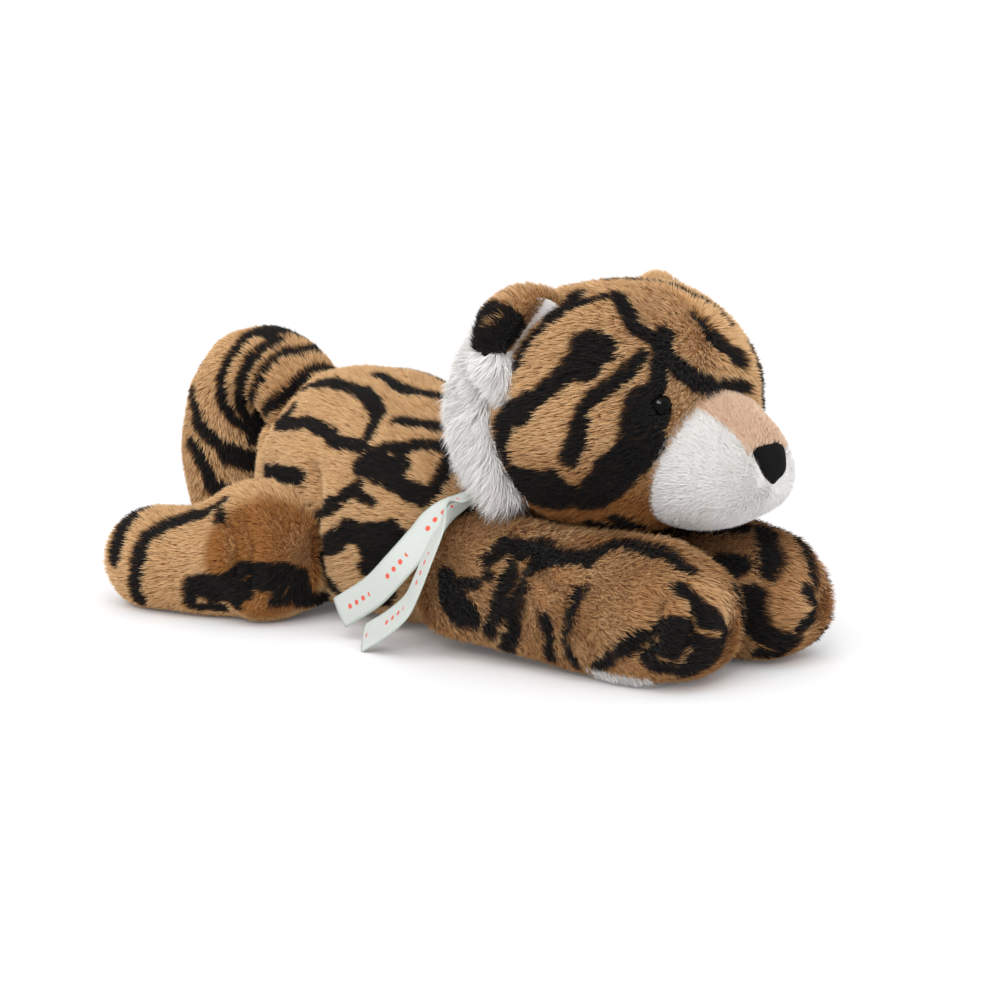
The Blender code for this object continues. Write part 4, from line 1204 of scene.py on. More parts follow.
SEAT_ROOM = 0.0050
put_on(cloth("body_cloth", GRIDS["body"], TAN, STRIPES["body"]), "torso", "body_skin", give=0.8)
inner_body = whole_body - slopes(whole_body)[1] * 0.0055
for centre, radius in SEATS:
    inner_body, _ = press_seat(inner_body, centre, radius + SEAT_ROOM)
fill("body_fibre", inner_body, "torso", "body_filling", 0.0)
clear = ~(bare | np.roll(bare, 1, 1) | np.roll(bare, -1, 1))
print(int(clear.sum()), "points of the body carry pile")

# %% [markdown]
# The pile of the body lies backwards. It is pressed flat underneath and shorter in the
# folds, where its strands also carry painted shade, so that the folds read as dark lines, and
# it leaves an oval free for the belly panel.

# %% Pile of the body
def in_oval(points, centre, half, top):
    """True under an oval seen from below, up to a height."""
    far = (((points[:, :2] - centre) / half) ** 2).sum(-1)
    return (far < 1) & (points[:, 2] < top)


BELLY = np.array([0.004, 0]), np.array([0.060, 0.025])


def less_below(points, normals):
    """Full length from 18 mm up, a quarter of it at the floor, and at least 0.40 in a fold."""
    in_fold = np.clip(0.40 + np.maximum(nearest(points, folds), 0) / 0.008, 0.40, 1)
    return np.clip(0.25 + points[:, 2] / 0.024, 0.25, 1) * in_fold


grow(
    "body_pile", GRIDS["body"], 1.9, 0.0054, "torso", TAN, -1, STRIPES["body"], clear,
    lambda p: in_oval(p, *BELLY, 0.014), length_at=less_below, split=True)

# %% [markdown]
# The belly has a white panel let into it, and each front paw a white sole. They could be
# cut out of the skin, but a seam that fine is hidden by pile. So each is an oval seen from
# below that is dropped on the skin and stands a little proud of it.

# %% Belly panel
UNDERSIDE = 0.020
PATCH_THICKNESS = 0.0012


def from_nearest(flat, places, values, count):
    """Mean of the values at the nearest places, weighted by 1 / distance squared."""
    far = np.linalg.norm(flat[..., None, :] - places, axis=-1) + 1e-5
    chosen = np.argsort(far, -1)[..., :count]
    weight = 1 / np.take_along_axis(far, chosen, -1) ** 2
    weight /= weight.sum(-1, keepdims=True)
    return np.sum(values[chosen] * weight[..., None], -2)


def disc(rings, turns):
    """Radius 0 to 1 and angle of each point of a disc's rings and spokes."""
    return np.meshgrid(np.linspace(0, 1, rings), whole_turn(turns), indexing="ij")


def white_patch(name, grid, centre, half, rise, body, node_name, per_mm2, length, way):
    """A thin closed lens in an oval on the underside of a grid, with its pile."""
    radius, angle = disc(14, 48)
    x, y = half[0] * radius * np.cos(angle), half[1] * radius * np.sin(angle)
    flat = np.stack([centre[0] + x, centre[1] + y], -1)
    usable = grid[..., 2] < UNDERSIDE
    points, facing = grid[usable], slopes(grid)[1][usable]
    found = from_nearest(flat, points[:, :2], np.hstack([points[:, 2:], facing]), 5)
    facing = unit(found[..., 1:])
    top = np.concatenate([flat, found[..., :1]], -1) + facing * rise
    top[..., 2] = np.maximum(top[..., 2], LOWEST)
    lens = np.concatenate([top, (top - facing * PATCH_THICKNESS)[::-1]])
    put_on(cloth(name + "_cloth", lens, WHITE, along=0.6), body, node_name)
    lie = all_lie(way)
    grow(name + "_pile", top, per_mm2, length, body, WHITE, lay=lie, length_at=less_below)


white_patch(
    "belly", GRIDS["body"], *BELLY, 0.0003, "torso", "belly_panel", 1.6, 0.0045, [-1.0, 0, 0])

# %% [markdown]
# The limbs and the tail are bags of the same kind, so one loop makes the cloth and the
# filling of all five.

# %% Limbs and tail
for name in ("arm_right", "arm_left", "leg_right", "leg_left", "tail"):
    kind, _, word = name.partition("_")
    end = "_" + word if word else ""
    piece = cloth(name + "_cloth", GRIDS[name], TAN, STRIPES[name])
    put_on(piece, name, kind + "_skin" + end, give=0.8)
    fill(name + "_fibre", GRIDS[name], name, kind + "_filling" + end)
    print(name, len(piece.data.vertices), "points of cloth")

# %% [markdown]
# The pile of a limb lies towards its end. On the part that only comes out of its seat when
# the limb turns, it is short, so that no bare strip opens. A paw's sole is white, and its
# white cloth turns up a little at the outer edge. The thigh's pile is a deeper rust.

# %% Pile of the limbs, and the soles
def in_body(points, depth=0.0140):
    return depth_in(points, whole_body) > depth


def short_inside(points, normals):
    """The length of less_below, and under a third of it on the part that only comes out of
    its seat when the limb turns."""
    return less_below(points, normals) * np.where(in_body(points, 0.0015), 0.30, 1)


def on_thigh(points):
    """4.5 in the middle of the thigh and 0 from 33 mm out: a deeper rust tone there."""
    outside = points * [1, 0, 1] + np.abs(points) * [0, 1, 0]
    far = np.linalg.norm(outside - [-0.033, 0.080, 0.033], axis=-1)
    return 4.5 * np.clip((0.033 - far) / 0.009, 0, 1)


SOLE_HALF = np.array([0.0250, 0.0190])
for side, word in WORD.items():
    arm_name, leg_name = "arm_" + word, "leg_" + word
    sole = np.array([SHOULDER[0] + 0.086, side * (SHOULDER[1] - 0.012)])

    def off_rim(points):
        """True off the rim of the sole, where its white cloth turns up the side of the paw."""
        far = (((points[:, :2] - sole) / SOLE_HALF) ** 2).sum(-1)
        reach = 0.014 + 0.003 * ripple(points, 0.004, 5)
        past_middle = np.abs(points[:, 0] - sole[0] - 0.003) > reach
        above = points[:, 2] > 0.0072 + 0.001 * ripple(points, 0.006, 9)
        return (far < 1) | (far > 2.2) | past_middle | above

    def not_tan(points):
        return in_body(points) | in_oval(points, sole, SOLE_HALF, 0.012) | ~off_rim(points)

    grow("sole_" + word + "_rim_pile", GRIDS[arm_name], 3.0, 0.0045, arm_name, WHITE, skip=off_rim)
    grow(
        arm_name + "_pile", GRIDS[arm_name], 2.1, 0.0064, arm_name, TAN, 1, STRIPES[arm_name],
        skip=not_tan, length_at=short_inside, deepen=lambda p: 1.0 + 0.9 * ripple(p, 0.03, 31))
    grow(
        leg_name + "_pile", GRIDS[leg_name], 2.1, 0.0054, leg_name, TAN, 1, STRIPES[leg_name],
        skip=in_body, length_at=short_inside, deepen=on_thigh)
    white_patch(
        "sole_" + word, GRIDS[arm_name], sole, SOLE_HALF, 0.0004, arm_name, "arm_sole_" + word,
        2.0, 0.0040, [1.0, 0, 0])
grow(
    "tail_pile", GRIDS["tail"], 2.3, 0.0048, "tail", TAN, 1, STRIPES["tail"], skip=in_body,
    length_at=short_inside)

# %% [markdown]
# The head's pile lies backwards and a little down, as it is brushed on the real one. It is
# short round the eyes, so that they show, and left out where the muzzle is sewn on.

# %% Head
head_skin = cloth("head_cloth", GRIDS["head"], TAN, STRIPES["head"])
put_on(head_skin, "head", "head_skin", give=0.85)
fill("head_fibre", GRIDS["head"], "head", "head_filling", 0.0125)
EYE_BOXES = [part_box("eye_" + word) for word in WORD.values()]
EYES = [(np.array(low) + np.array(high)) / 2 for low, high in EYE_BOXES]
EYE_REACH = 0.0050


def round_eyes(points, normals):
    """No pile within 5 mm of an eye's middle, 0.55 of its length there, full from 10.4 mm."""
    far = np.min([np.linalg.norm(points - e, axis=-1) for e in EYES], 0)
    length = np.clip(0.55 + (far - EYE_REACH) / 0.012, 0.55, 1)
    return np.where(far < EYE_REACH, 0, length)


def head_lay(points):
    local = in_head(points)
    sideways, down = np.sign(local[:, 1]) * 0.25, np.clip((local[:, 2] + 0.01) * -18, -0.9, 0.5)
    return np.stack([-np.ones(len(points)), sideways, down], -1) @ HEAD_AXES.T


def in_muzzle(points):
    return depth_in(points, GRIDS["muzzle"], True) > 0.001


def chin_shade(points):
    """Painted shade under the head: a deeper tone from 10 mm under the head's middle downwards."""
    return np.clip((-0.010 - in_head(points)[:, 2]) * 110, 0, 3.2)


# Under the head the pile gets painted shade through its tone.
grow(
    "head_pile", GRIDS["head"], 2.4, 0.0056, "head", TAN, -1, STRIPES["head"], skip=in_muzzle,
    lay=head_lay, length_at=round_eyes, split=True, deepen=chin_shade)
print("eyes at", [e.round(4).tolist() for e in EYES])

# %% [markdown]
# The muzzle is a small bag of short white plush. Its pile stops where the peach panel
# starts, and it is trimmed close round the nose.

# %% Muzzle
muzzle = GRIDS["muzzle"]
put_on(cloth("muzzle_cloth", muzzle, WHITE), "head", "muzzle_skin", give=0.85)
fill("muzzle_fibre", muzzle, "head", "muzzle_filling")
SHORT_PILE = {"pull": 0.14, "tuft": 0.0022, "width": 0.0004}


def bridge_half(x):
    """The panel's half width, which narrows towards the nose."""
    return np.interp(x, [0.018, 0.072], [0.0255, 0.0150])


def on_bridge(points):
    x, y, z = in_head(points).T
    return (np.abs(y) < bridge_half(x)) & (z > -0.0120) & (x < 0.080)


def in_head_form(points):
    return depth_in(points, GRIDS["head"], True) > 0.002


def round_nose(points, normals):
    x, y, z = in_head(points).T
    near_nose = (np.abs(y) < 0.0125) & (np.abs(z + 0.0195) < 0.0095) & (x > 0.070)
    return np.where(near_nose, 0.30, 1.0)


grow(
    "muzzle_pile", muzzle, 4.2, 0.0030, "head", WHITE, -1, lift=0.9,
    skip=lambda p: on_bridge(p) | in_head_form(p), length_at=round_nose, **SHORT_PILE)

# %% [markdown]
# The peach panel runs from between the eyes down to the nose. It could be a patch pressed
# on from above, but it has to hug the muzzle. So it is a strip of the muzzle's own surface:
# on each row of the loft, the place across gives the angle, arccos(y / half width).

# %% Peach bridge
def flat_tube(top, facing, thickness):
    """The strip and the same strip set back, joined into a closed flat tube; each end closes
    in its middle."""
    ring = np.concatenate([top, (top - facing * thickness)[:, ::-1]], 1)
    ends = ring.mean(1, keepdims=True).repeat(ring.shape[1], 1)
    return np.concatenate([ends[:1], ring, ends[-1:]])


def strip_on_top(grid, half_at, first_x, last_x, columns=26):
    """Points and normals on the top of a grid, up to half_at on each side of its middle."""
    local = in_head(grid)
    x = local[..., 0].mean(1)
    rows = (x > first_x) & (x < last_x)
    half_width = np.abs(local[rows, :, 1]).max(1)
    share = np.linspace(-1, 1, columns) * half_at(x[rows])[:, None] / half_width[:, None]
    column = np.arccos(np.clip(share, -0.99, 0.99)) / math.tau * grid.shape[1]
    low = column.astype(int)
    part = (column - low)[..., None]
    row = np.arange(rows.sum())[:, None]
    top, facing = (v[row, low] * (1 - part) + v[row, low + 1] * part
                   for v in (grid[rows], slopes(grid)[1][rows]))
    return top, unit(facing)


strip, strip_facing = strip_on_top(muzzle, bridge_half, 0.020, 0.0785)
strip = strip + strip_facing * 0.0005
bridge = flat_tube(strip, strip_facing, PATCH_THICKNESS)
put_on(cloth("bridge_cloth", bridge, PEACH, along=0.6), "head", "nose_bridge")
ends_joined = np.concatenate([strip, strip[:, ::-1]], 1)
grow(
    "bridge_pile", ends_joined, 4.0, 0.0028, "head", PEACH, skip=in_head_form, lift=1.0,
    lay=all_lie(HEAD_AXES @ [-1.0, 0, 0.1]), **SHORT_PILE)

# %% [markdown]
# The nose is a rounded triangle of black velvet sewn on the front. A flat cut-out would
# stand off the curved muzzle. So its outline is read as a radius for each angle, each point
# is set on the muzzle by its nearest neighbours seen from the front, and the whole is domed
# by 1 - r^3.

# %% Velvet nose
NOSE_HALF, NOSE_HIGH, NOSE_LOW = 0.0138, -0.0112, -0.0290
corners = [(1.00, 0.88), (0.86, 1.00), (0.62, 0.80), (0.14, 0.26), (0.0, 0.0)]
side_line = np.array([(w * NOSE_HALF, NOSE_LOW + h * (NOSE_HIGH - NOSE_LOW)) for h, w in corners])
outline = np.concatenate([[[0, NOSE_HIGH]], side_line, (side_line * [-1, 1])[::-1][1:]])
middle = np.array([0, (NOSE_HIGH + NOSE_LOW) / 2 + 0.002])
outline_angle = np.unwrap(np.arctan2(*(outline - middle).T[::-1]))
outline_radius = np.linalg.norm(outline - middle, axis=1)
order = np.argsort(outline_angle % math.tau)
radius, angle = disc(12, 48)
reach = np.interp(angle, (outline_angle % math.tau)[order], outline_radius[order], period=math.tau)
reach = (reach + np.roll(reach, 1, 1) + np.roll(reach, -1, 1)) / 3
flat = middle + np.stack([np.cos(angle), np.sin(angle)], -1) * (reach * radius)[..., None]
front = in_head(muzzle)[(slopes(muzzle)[1] @ HEAD_AXES)[..., 0] > 0.15]
depth = from_nearest(flat, front[:, 1:], front[:, :1], 8)
dome = depth + (0.0004 + 0.0012 * (1 - radius**3))[..., None]
nose_top = from_head(np.concatenate([dome, flat], -1))
nose_back = nose_top - HEAD_AXES @ [0.0030, 0, 0]
put_on(cloth("nose_velvet", np.concatenate([nose_top, nose_back[::-1]]), VELVET), "head", "nose")
print("nose", round(2000 * NOSE_HALF, 1), "mm wide")

# %% [markdown]
# The eyes are glossy black domes on a stem, held inside the head by a plastic washer. They
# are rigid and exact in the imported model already, so they keep its meshes and only get
# their finish.

# %% Eyes and their washers
for word in WORD.values():
    for name, material in (("eye_" + word, GLOSS), ("eye_washer_" + word, PLASTIC)):
        mesh = frame["nodes"][name].data
        mesh.materials.clear()
        mesh.materials.append(material)
        mesh.shade_smooth()
        print(name, material.name)

# %% [markdown]
# An ear is half an oval cushion with a dish pressed into its front. It could be cut from a
# ball, but then its rim would be sharp. Its section runs from the back over the rim and
# down into the dish, and is carried round the ear's own axis. The lower half is hidden in
# the head, where the ear is sewn in.

# %% Form of an ear
EAR_SECTION = np.array([
    (-0.0080, 0.00), (-0.0080, 0.25), (-0.0073, 0.50), (-0.0050, 0.78), (-0.0010, 0.98),
    (0.0028, 0.99), (0.0050, 0.86), (0.0040, 0.68), (0.0024, 0.45), (0.0016, 0.20), (0.0016, 0.00),
])


def ear_axes(side):
    """The ear's place on the head, leant outwards and back and turned a little outwards."""
    lean = math.radians(42 if side == LEFT else 54)
    head = Matrix.Translation(HEAD_CENTRE) @ Matrix.Rotation(HEAD_TURN, 4, "Z")
    spot = Matrix.Translation((-0.018, 0.0450 * side, 0.0275))
    turns = Matrix.Rotation(-lean * side, 4, "X") @ Matrix.Rotation(math.radians(10) * side, 4, "Z")
    return np.array(head @ spot @ turns @ Matrix.Rotation(math.radians(-14), 4, "Y"))


FOLD_HEIGHT = 0.0075
EAR_WIDE, EAR_HIGH = 0.0255, 0.0272


def ear_grid(side, section, rise=0.0, bulge=0.0, rows=40, sides=72):
    """(x(s), half width * r(s) * cos t, height * r(s) * sin t), placed by the ear's axes. The
    tip folds forwards and fills the top of the dish."""
    stations = np.arange(len(section))
    place = np.interp(np.linspace(0, 1, rows), np.linspace(0, 1, len(section)), stations)
    x = np.interp(place, stations, section[:, 0]) + rise
    r = np.interp(place, stations, section[:, 1])
    blur = [0.25, 0.5, 0.25]
    x, r = (np.convolve(np.pad(v, 1, "edge"), blur, "valid")[:, None] for v in (x, r))
    r[0] = r[-1] = 0
    t = whole_turn(sides)
    x = np.broadcast_to(x, (rows, sides))
    points = np.stack([x, EAR_WIDE * r * np.cos(t), EAR_HIGH * r * np.sin(t)], -1)
    folded = np.clip((points[..., 2] - FOLD_HEIGHT) / 0.010, 0, 1) * np.clip(1 - r**4, 0, 1)
    front_half = np.arange(rows)[:, None] >= rows // 2
    points[..., 0] += np.where(front_half, folded * bulge, 0)
    axes = ear_axes(side)
    return points @ axes[:3, :3].T + axes[:3, 3]


ear_size = np.ptp(ear_grid(RIGHT, EAR_SECTION).reshape(-1, 3), 0) * 1000
print("an ear spans", ear_size.round().tolist(), "mm")

# %% [markdown]
# The back of each ear has a black mark. It is traced on the near ear and turned over for
# the other. Where the ear meets the head, longer white pile covers the seam.

# %% Both ears
EAR_ROOT = 0.0265
EAR_BULGE = 0.0055
EAR_BLACK = (
    (20, 480, 349, 500, 348), (16, 481, 340, 482, 324, 493, 313), (14, 494, 336, 506, 328),
    (10, 510, 315, 519, 326), (12, 504, 344, 514, 333),
)
ear_black = trace(tree_of([ear_grid(RIGHT, EAR_SECTION, bulge=EAR_BULGE)]), EAR_BLACK)
LINING_SECTION = np.array([
    (0.0014, 0.0), (0.0014, 0.20), (0.0022, 0.45), (0.0038, 0.68), (0.0052, 0.84),
    (0.0060, 0.86), (0.0052, 0.72), (0.0036, 0.48), (0.0028, 0.2), (0.0027, 0.0),
])


def on_ear(capsules, side):
    """The right ear's strokes in its own axes, turned over and put on this side's ear."""
    here, there = ear_axes(RIGHT), ear_axes(side)
    ends = (capsules[:, :6].reshape(-1, 3) - here[:3, 3]) @ here[:3, :3] * [1, -side, 1]
    ends = (ends @ there[:3, :3].T + there[:3, 3]).reshape(-1, 6)
    return np.hstack([ends, capsules[:, 6:]])


for side, word in WORD.items():
    ear = "ear_" + word
    axes = ear_axes(side)
    faced, outwards = axes[:3, 0], axes[:3, 2]
    grid = ear_grid(side, EAR_SECTION, bulge=EAR_BULGE)
    capsules = on_ear(ear_black, side)
    put_on(cloth(ear + "_cloth", grid, TAN, capsules), ear, ear, give=0.5)

    def hidden_or_dish(points):
        x, y, z = ((points - axes[:3, 3]) @ axes[:3, :3]).T
        dish = (x > 0.0012) & (np.hypot(y / EAR_WIDE, z / EAR_HIGH) < 0.84)
        dish &= z < FOLD_HEIGHT + 0.001
        return in_head_form(points) | dish | (in_head(points)[:, 2] < EAR_ROOT)

    def above_root(points):
        edge = EAR_ROOT + 0.0015 * ripple(points, 0.006, 8)
        return in_head_form(points) | (in_head(points)[:, 2] > edge)

    grow(
        ear + "_pile", grid, 3.0, 0.0052, ear, TAN, capsules=capsules, skip=hidden_or_dish,
        lay=all_lie(outwards * 0.8 - faced * 0.5), lift=0.8, droop=0.0)
    grow(
        ear + "_root_pile", grid, 4.0, 0.0100, ear, WHITE, skip=above_root,
        lay=all_lie(HEAD_AXES @ [-0.7, 0.2 * side, -0.5]), lift=0.35, tuft=0.0040, pull=0.30,
        width=0.0004)
    lining = ear_grid(side, LINING_SECTION, 0.0004)
    name = "ear_lining_" + word
    put_on(cloth(name + "_cloth", lining, WHITE, along=0.7), ear, name)
    front_half = lining[len(lining) // 2:]
    grow(
        name + "_pile", front_half, 4.0, 0.0036, ear, WHITE, skip=in_head_form,
        lay=all_lie(outwards), lift=0.9, droop=0.0)

# %% [markdown]
# Behind each cheek is a ruff of long white plush. It is a narrow cushion whose pile is up
# to three times as long as elsewhere. It lies back and down in locks, so its tufts are
# larger and are drawn together harder.

# %% Ruffs
# (forwards, outwards, upwards) in shares of the head's size, and the thickness there
RUFF = (
    (-0.290, 0.395, 0.310, 0.45), (-0.350, 0.465, 0.170, 0.85), (-0.375, 0.490, -0.020, 1.0),
    (-0.355, 0.465, -0.200, 0.9), (-0.290, 0.370, -0.345, 0.45),
)


def ruff_length(points, normals):
    """Longer towards the jaw, and uneven from lock to lock."""
    height = in_head(points)[:, 2]
    length = np.interp(height, [-0.040, -0.015, 0.010, 0.035], [1.05, 0.62, 0.52, 0.80])
    return length * (1 + 0.38 * ripple(points, 0.006, 21))


for side, word in WORD.items():
    length, width, height = HEAD_SIZE
    rings = []
    for x, y, z, swell in RUFF:
        centre = from_head([x * length + 0.0015, y * width * side, z * height])
        rings.append((centre, swell * 0.0108, swell * 0.0075))
    grid = loft(rings, HEAD_AXES @ [1.0, 0, 0], rows=48, sides=48)
    name = "ruff_" + word
    put_on(cloth(name + "_cloth", grid, WHITE), "head", name, give=0.5)

    def ruff_lay(points):
        down = np.interp(in_head(points)[:, 2], [-0.020, 0.015, 0.034], [0.95, 0.50, -0.60])
        ones = np.ones(len(points))
        return np.stack([-0.62 * ones, 0.22 * side * ones, -down], -1) @ HEAD_AXES.T

    grow(
        name + "_pile", grid, 6.5, 0.0150, "head", WHITE, skip=in_head_form, lay=ruff_lay,
        length_at=ruff_length, wild=1.7, lift=0.40, tuft=0.0042, pull=0.34, droop=0.10,
        width=0.0004)

# %% [markdown]
# Inside, out of sight, are the ball of the neck and the pouch of pellets that weighs the
# belly down. Both are round bags. A sphere could be scaled for them, but the same formula
# with a power squares its edges as well, which the ribbon's knot needs later.

# %% Neck ball and pellet pouch
def oval_grid(centre, half, rows=36, sides=56, square=1.0):
    """Ellipsoid over latitude u and longitude v: half * (cos u cos v, cos u sin v, sin u),
    with cos u and sin u raised to a power that squares it."""
    u = np.linspace(-math.pi / 2, math.pi / 2, rows)
    u, v = np.meshgrid(u, whole_turn(sides), indexing="ij")
    flat = np.abs(np.cos(u)) ** square
    high = np.sign(np.sin(u)) * np.abs(np.sin(u)) ** square
    ball = np.stack([flat * np.cos(v), flat * np.sin(v), high], -1)
    return np.array(centre) + ball * np.array(half)


neck = cloth("neck_cloth", oval_grid(NECK, (0.0255,) * 3), TAN)
put_on(neck, "neck", "neck_skin", "neck_filling", give=0.8)
pouch = oval_grid((0, 0, 0.017), (0.037, 0.030, 0.0125), square=0.9)
put_on(cloth("pouch_cloth", pouch, PELLET_CLOTH), "torso", "pellet_pouch", give=0.6)
print("neck ball and pouch in place")

# %% [markdown]
# The ribbon is pale satin, with threads that run across it and a woven edge. A plain glossy
# colour would look like plastic, so fine bands are added as bumps, and the shine is drawn
# out along them. Plain coral dots stand where such a ribbon is often printed.

# %% Satin
def satin_material():
    """Mint with a darker woven edge and rows of dots, on the map called ribbon."""
    material, tree, shader = new_material("mint_satin")
    carried = node(tree, "ShaderNodeUVMap", uv_map="ribbon")
    parts = node(tree, "ShaderNodeSeparateXYZ")
    feed(tree, parts.inputs["Vector"], carried.outputs["UV"])
    do = partial(maths, tree)
    # u is in ribbon widths along the strip, v from 0 to 1 across it
    u, off_middle = parts.outputs["X"], do("SUBTRACT", parts.outputs["Y"], 0.5)
    step = do("SUBTRACT", do("FRACT", do("MULTIPLY", u, 3.0)), 0.5)
    rise = do("MULTIPLY", off_middle, 3.0)
    reach = do("SQRT", do("ADD", do("MULTIPLY", step, step), do("MULTIPLY", rise, rise)))
    in_row = do("GREATER_THAN", do("FRACT", do("MULTIPLY", u, 0.5)), 0.42)
    dot = do("MULTIPLY", do("SUBTRACT", 1.0, smooth(tree, reach, 0.22, 0.27), True), in_row)
    edge = smooth(tree, do("ABSOLUTE", off_middle), 0.44, 0.49)
    mint = mix_colour(tree, noise(tree, 1400.0), (0.53, 0.565, 0.53), (0.63, 0.66, 0.625))
    mint = mix_colour(tree, edge, mint, (0.46, 0.54, 0.47))
    wave = node(tree, "ShaderNodeTexWave", bands_direction="X")
    wave.inputs["Scale"].default_value = 10.0
    feed(tree, wave.inputs["Vector"], carried.outputs["UV"])
    bump_from(tree, shader, wave.outputs["Fac"], 0.00008)
    for socket, value in (
        ("Base Color", mix_colour(tree, dot, mint, (0.75, 0.075, 0.030))), ("Roughness", 0.34),
        ("Sheen Weight", 0.2), ("Anisotropic", 0.4),
    ):
        feed(tree, shader.inputs[socket], value)
    return material


SATIN = satin_material()
print("ribbon:", SATIN.name)

# %% [markdown]
# Two tails of the ribbon hang from the knot. They could be draped by a simulation, but the
# photograph shows where each one lies, so each follows a smooth path through a few points.

# %% Paths of the ribbon's tails
def curve_through(points, steps):
    """Catmull-Rom curve, with t running from 0 to 1 on each stretch: p1 + (p2 - p0) t/2
    + (2 p0 - 5 p1 + 4 p2 - p3) t^2/2 + (3 p1 - p0 - 3 p2 + p3) t^3/2."""
    p = np.concatenate([points[:1] * 2 - points[1:2], points, points[-1:] * 2 - points[-2:-1]])
    t = np.linspace(0, 1, steps, endpoint=False)[None, :, None]
    a, b, c, d = (p[k:len(p) - 3 + k][:, None] for k in range(4))
    line = b + (c - a) * t / 2 + (a * 2 - b * 5 + c * 4 - d) * t**2 / 2
    line = line + (b * 3 - a - c * 3 + d) * t**3 / 2
    return np.concatenate([line.reshape(-1, 3), points[-1:]])


# the tails run through points given in shares of the ribbon's own size, down from the knot
KNOT_CENTRE = np.array([0.0738, -0.0371, 0.0752])
RIBBON_WIDTH = 0.0155
RIBBON_SIZE = np.array([0.062, 0.025, 0.064])
WIDE_TAIL = (
    (0.03, 0.39, 0.01), (0.21, 0.88, 0.15), (0.34, 1.2, 0.36), (0.51, 1.36, 0.56),
    (0.75, 1.36, 0.77), (1.11, 1.32, 0.98),
)
NARROW_TAIL = (
    (-0.02, 0.42, -0.03), (0.06, 1.08, 0.06), (0.02, 1.48, 0.2), (0.07, 1.72, 0.43),
    (0.15, 1.78, 0.62), (0.26, 1.76, 0.78), (0.48, 1.68, 0.94), (0.74, 1.64, 1.09),
)


print("wide tail:", len(WIDE_TAIL), "points, narrow tail:", len(NARROW_TAIL), "points")

# %% [markdown]
# Each tail is a strip carried along its path, with its width across it and its long edges
# curled a little. A map along the strip carries the woven edge and the dots.

# %% Tails of the ribbon
def strip_uv(mesh, columns, widths):
    """u by the length run, in ribbon widths, and v across, for each corner of each face."""
    across = np.linspace(0, 1, columns)
    u = np.append(np.repeat(widths, 2 * columns), [widths[0], widths[-1]])
    v = np.tile(np.concatenate([across, across[::-1]]), len(widths))
    v = np.append(v, [0.5, 0.5])
    corner = np.empty(len(mesh.loops), np.int32)
    mesh.loops.foreach_get("vertex_index", corner)
    layer = mesh.uv_layers.new(name="ribbon")
    layer.data.foreach_set("uv", np.stack([u[corner], v[corner]], -1).astype(np.float32).ravel())


def ribbon_tail(name, shares, turn, columns=9):
    """Across the path: ahead x Y, turned about ahead by the twist. The width opens from the
    gathered end."""
    route = curve_through(KNOT_CENTRE - np.array(shares) * RIBBON_SIZE, 12)
    ahead = unit(np.gradient(route, axis=0))
    across = unit(np.cross(ahead, [0, 1.0, 0]))
    across = across * math.cos(turn) + np.cross(ahead, across) * math.sin(turn)
    facing = unit(np.cross(ahead, across))
    facing *= np.sign(np.sum(facing * [0, -1.0, 0], -1, keepdims=True))
    opening = np.minimum(1, 0.3 + np.arange(len(route)) / 24)
    share = np.linspace(-0.5, 0.5, columns)
    curl = (share**2 * 4 - 0.5) * 0.0006
    spread = across[:, None] * (RIBBON_WIDTH * opening[:, None] * share)[..., None]
    facing = np.repeat(facing[:, None], columns, 1)
    top = route[:, None] + spread + facing * (0.00015 - curl[None, :, None])
    piece = cloth(name, flat_tube(top, facing, 0.0003), SATIN)
    run = np.concatenate([[0], np.cumsum(np.linalg.norm(np.diff(route, axis=0), axis=1))])
    strip_uv(piece.data, columns, run / RIBBON_WIDTH)
    print(name, "runs", round(run[-1], 4), "m")
    return put_on(piece, "torso", name.replace("ribbon", "ribbon_tail")), run[-1]


wide, wide_run = ribbon_tail("ribbon_wide", WIDE_TAIL, 0.0)
narrow, narrow_run = ribbon_tail("ribbon_narrow", NARROW_TAIL, math.radians(36))

# %% [markdown]
# The ribbon goes once round the neck and is tied on the near side. The loop is a flat band
# turned about the neck's line. The knot is a squared oval with shallow pleats, because its
# turns can't be told apart at this size.

# %% Collar and knot
def ring_grid(turns=96, around=16):
    """A flat band turned about the neck's line: radius 26.7 mm and half width 3 mm, on a
    squared oval section."""
    t, a = np.meshgrid(whole_turn(turns), whole_turn(around), indexing="ij")
    radius = 0.0267 + 0.0004 * np.cos(a)
    height = 0.0030 * np.sign(np.sin(a)) * np.abs(np.sin(a)) ** 0.5
    points = np.stack([radius * np.cos(t), radius * np.sin(t), height], -1)
    return points @ np.array(Matrix.Rotation(math.radians(52), 3, "Y")).T + np.array(NECK)


band = ring_grid()
turns, around = band.shape[:2]
collar_faces = quads_of(turns + 1, around) % (turns * around)
collar = mesh_object("collar_satin", band.reshape(-1, 3), collar_faces.tolist(), SATIN)
point_outwards(collar.data)
put_on(collar, "torso", "ribbon_collar")
knot_grid = oval_grid((0, 0, 0), (0.0050, 0.01225, 0.00375), 48, 64, 0.7)
knot_grid = knot_grid * (1 + 0.05 * np.sin(knot_grid[..., 1:2] * 1500)) + KNOT_CENTRE
knot = put_on(cloth("knot_satin", knot_grid, SATIN), "torso", "ribbon_knot")
for piece in (collar.data, knot.data):
    layer = piece.uv_layers.new(name="ribbon")
    layer.data.foreach_set("uv", np.full(len(piece.loops) * 2, 0.3, np.float32))
print("knot", len(knot.data.vertices), "points, collar", len(collar.data.vertices))

# %% [markdown]
# The tiger lies on white in a white room. A lit backdrop would need light that also falls
# on the toy. So the floor is plain white and adds a little for the camera only, which lets
# it fade into the background and still keeps the shadow.

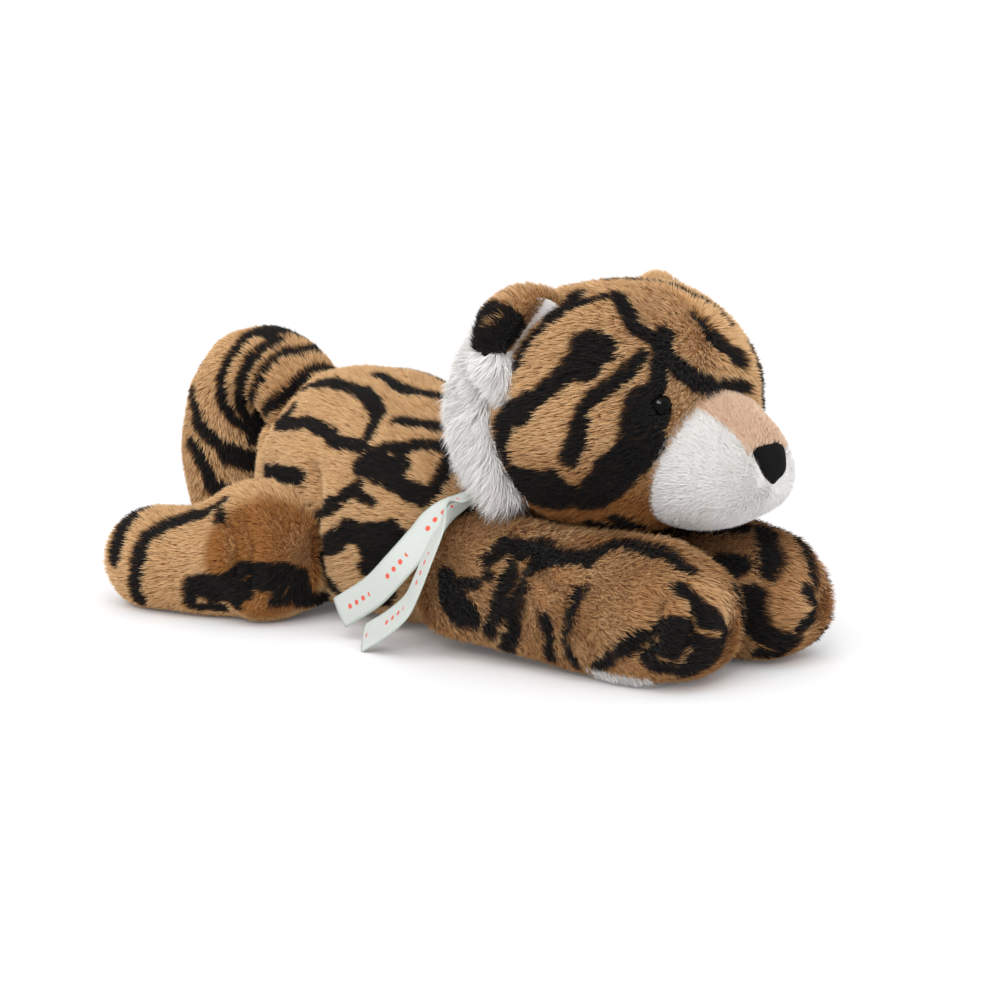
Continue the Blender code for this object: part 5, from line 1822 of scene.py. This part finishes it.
# %% Floor
def stage_material():
    """White, with a little light of its own that only the camera sees."""
    material, tree, shader = new_material("white_floor")
    tree.nodes.remove(shader)
    diffuse, glow = node(tree, "ShaderNodeBsdfDiffuse"), node(tree, "ShaderNodeEmission")
    diffuse.inputs["Color"].default_value = (0.86, 0.86, 0.87, 1)
    seen = node(tree, "ShaderNodeLightPath").outputs["Is Camera Ray"]
    feed(tree, glow.inputs["Strength"], maths(tree, "MULTIPLY", seen, 0.06))
    both = node(tree, "ShaderNodeAddShader")
    feed(tree, both.inputs[0], diffuse.outputs[0])
    feed(tree, both.inputs[1], glow.outputs[0])
    feed(tree, tree.nodes["Material Output"].inputs["Surface"], both.outputs[0])
    return material


FLOOR_HALF = 6.0
floor_corners = np.array([(-1, -1, 0), (1, -1, 0), (1, 1, 0), (-1, 1, 0)]) * FLOOR_HALF
mesh_object("floor", floor_corners, [(0, 1, 2, 3)], stage_material(), False)
print("floor", 2 * FLOOR_HALF, "m wide")

# %% [markdown]
# The light is soft, as in a photographer's tent: an even sky, two wide suns, and a small
# one for the glint in the eyes. A wide sun is chosen over an area lamp because it lights
# the whole floor evenly.

# %% Sky and lamps
# seen by the camera, mirrored or through something, the sky is fully white; as light it is
# weaker
SKY_STRENGTH = 0.72
world = bpy.data.worlds.new("sky")
bpy.context.scene.world = world
world.use_nodes = True
tree = world.node_tree
rays = node(tree, "ShaderNodeLightPath").outputs
seen = maths(tree, "ADD", rays["Is Camera Ray"], rays["Is Glossy Ray"], True)
seen = maths(tree, "ADD", seen, rays["Is Transmission Ray"], True)
strength = maths(tree, "ADD", maths(tree, "MULTIPLY", seen, 1.0 - SKY_STRENGTH), SKY_STRENGTH)
background = tree.nodes["Background"]
feed(tree, background.inputs["Strength"], strength)
background.inputs["Color"].default_value = (1, 1, 1, 1)


def soft_sun(name, way, strength, spread):
    """A sun lights the whole floor evenly; its wide disc makes the shadow soft."""
    lamp = bpy.data.lights.new(name, "SUN")
    lamp.energy = strength
    lamp.angle = math.radians(spread)
    add_object(name, lamp, aim=way)


soft_sun("key", (-0.34, 0.62, -0.76), 1.50, 60)
soft_sun("top", (-0.10, 0.05, -1.0), 0.50, 90)
soft_sun("catchlight", (-0.42, 0.74, -0.52), 0.40, 8)
bpy.context.scene.view_settings.view_transform = "Standard"
print("stage ready")
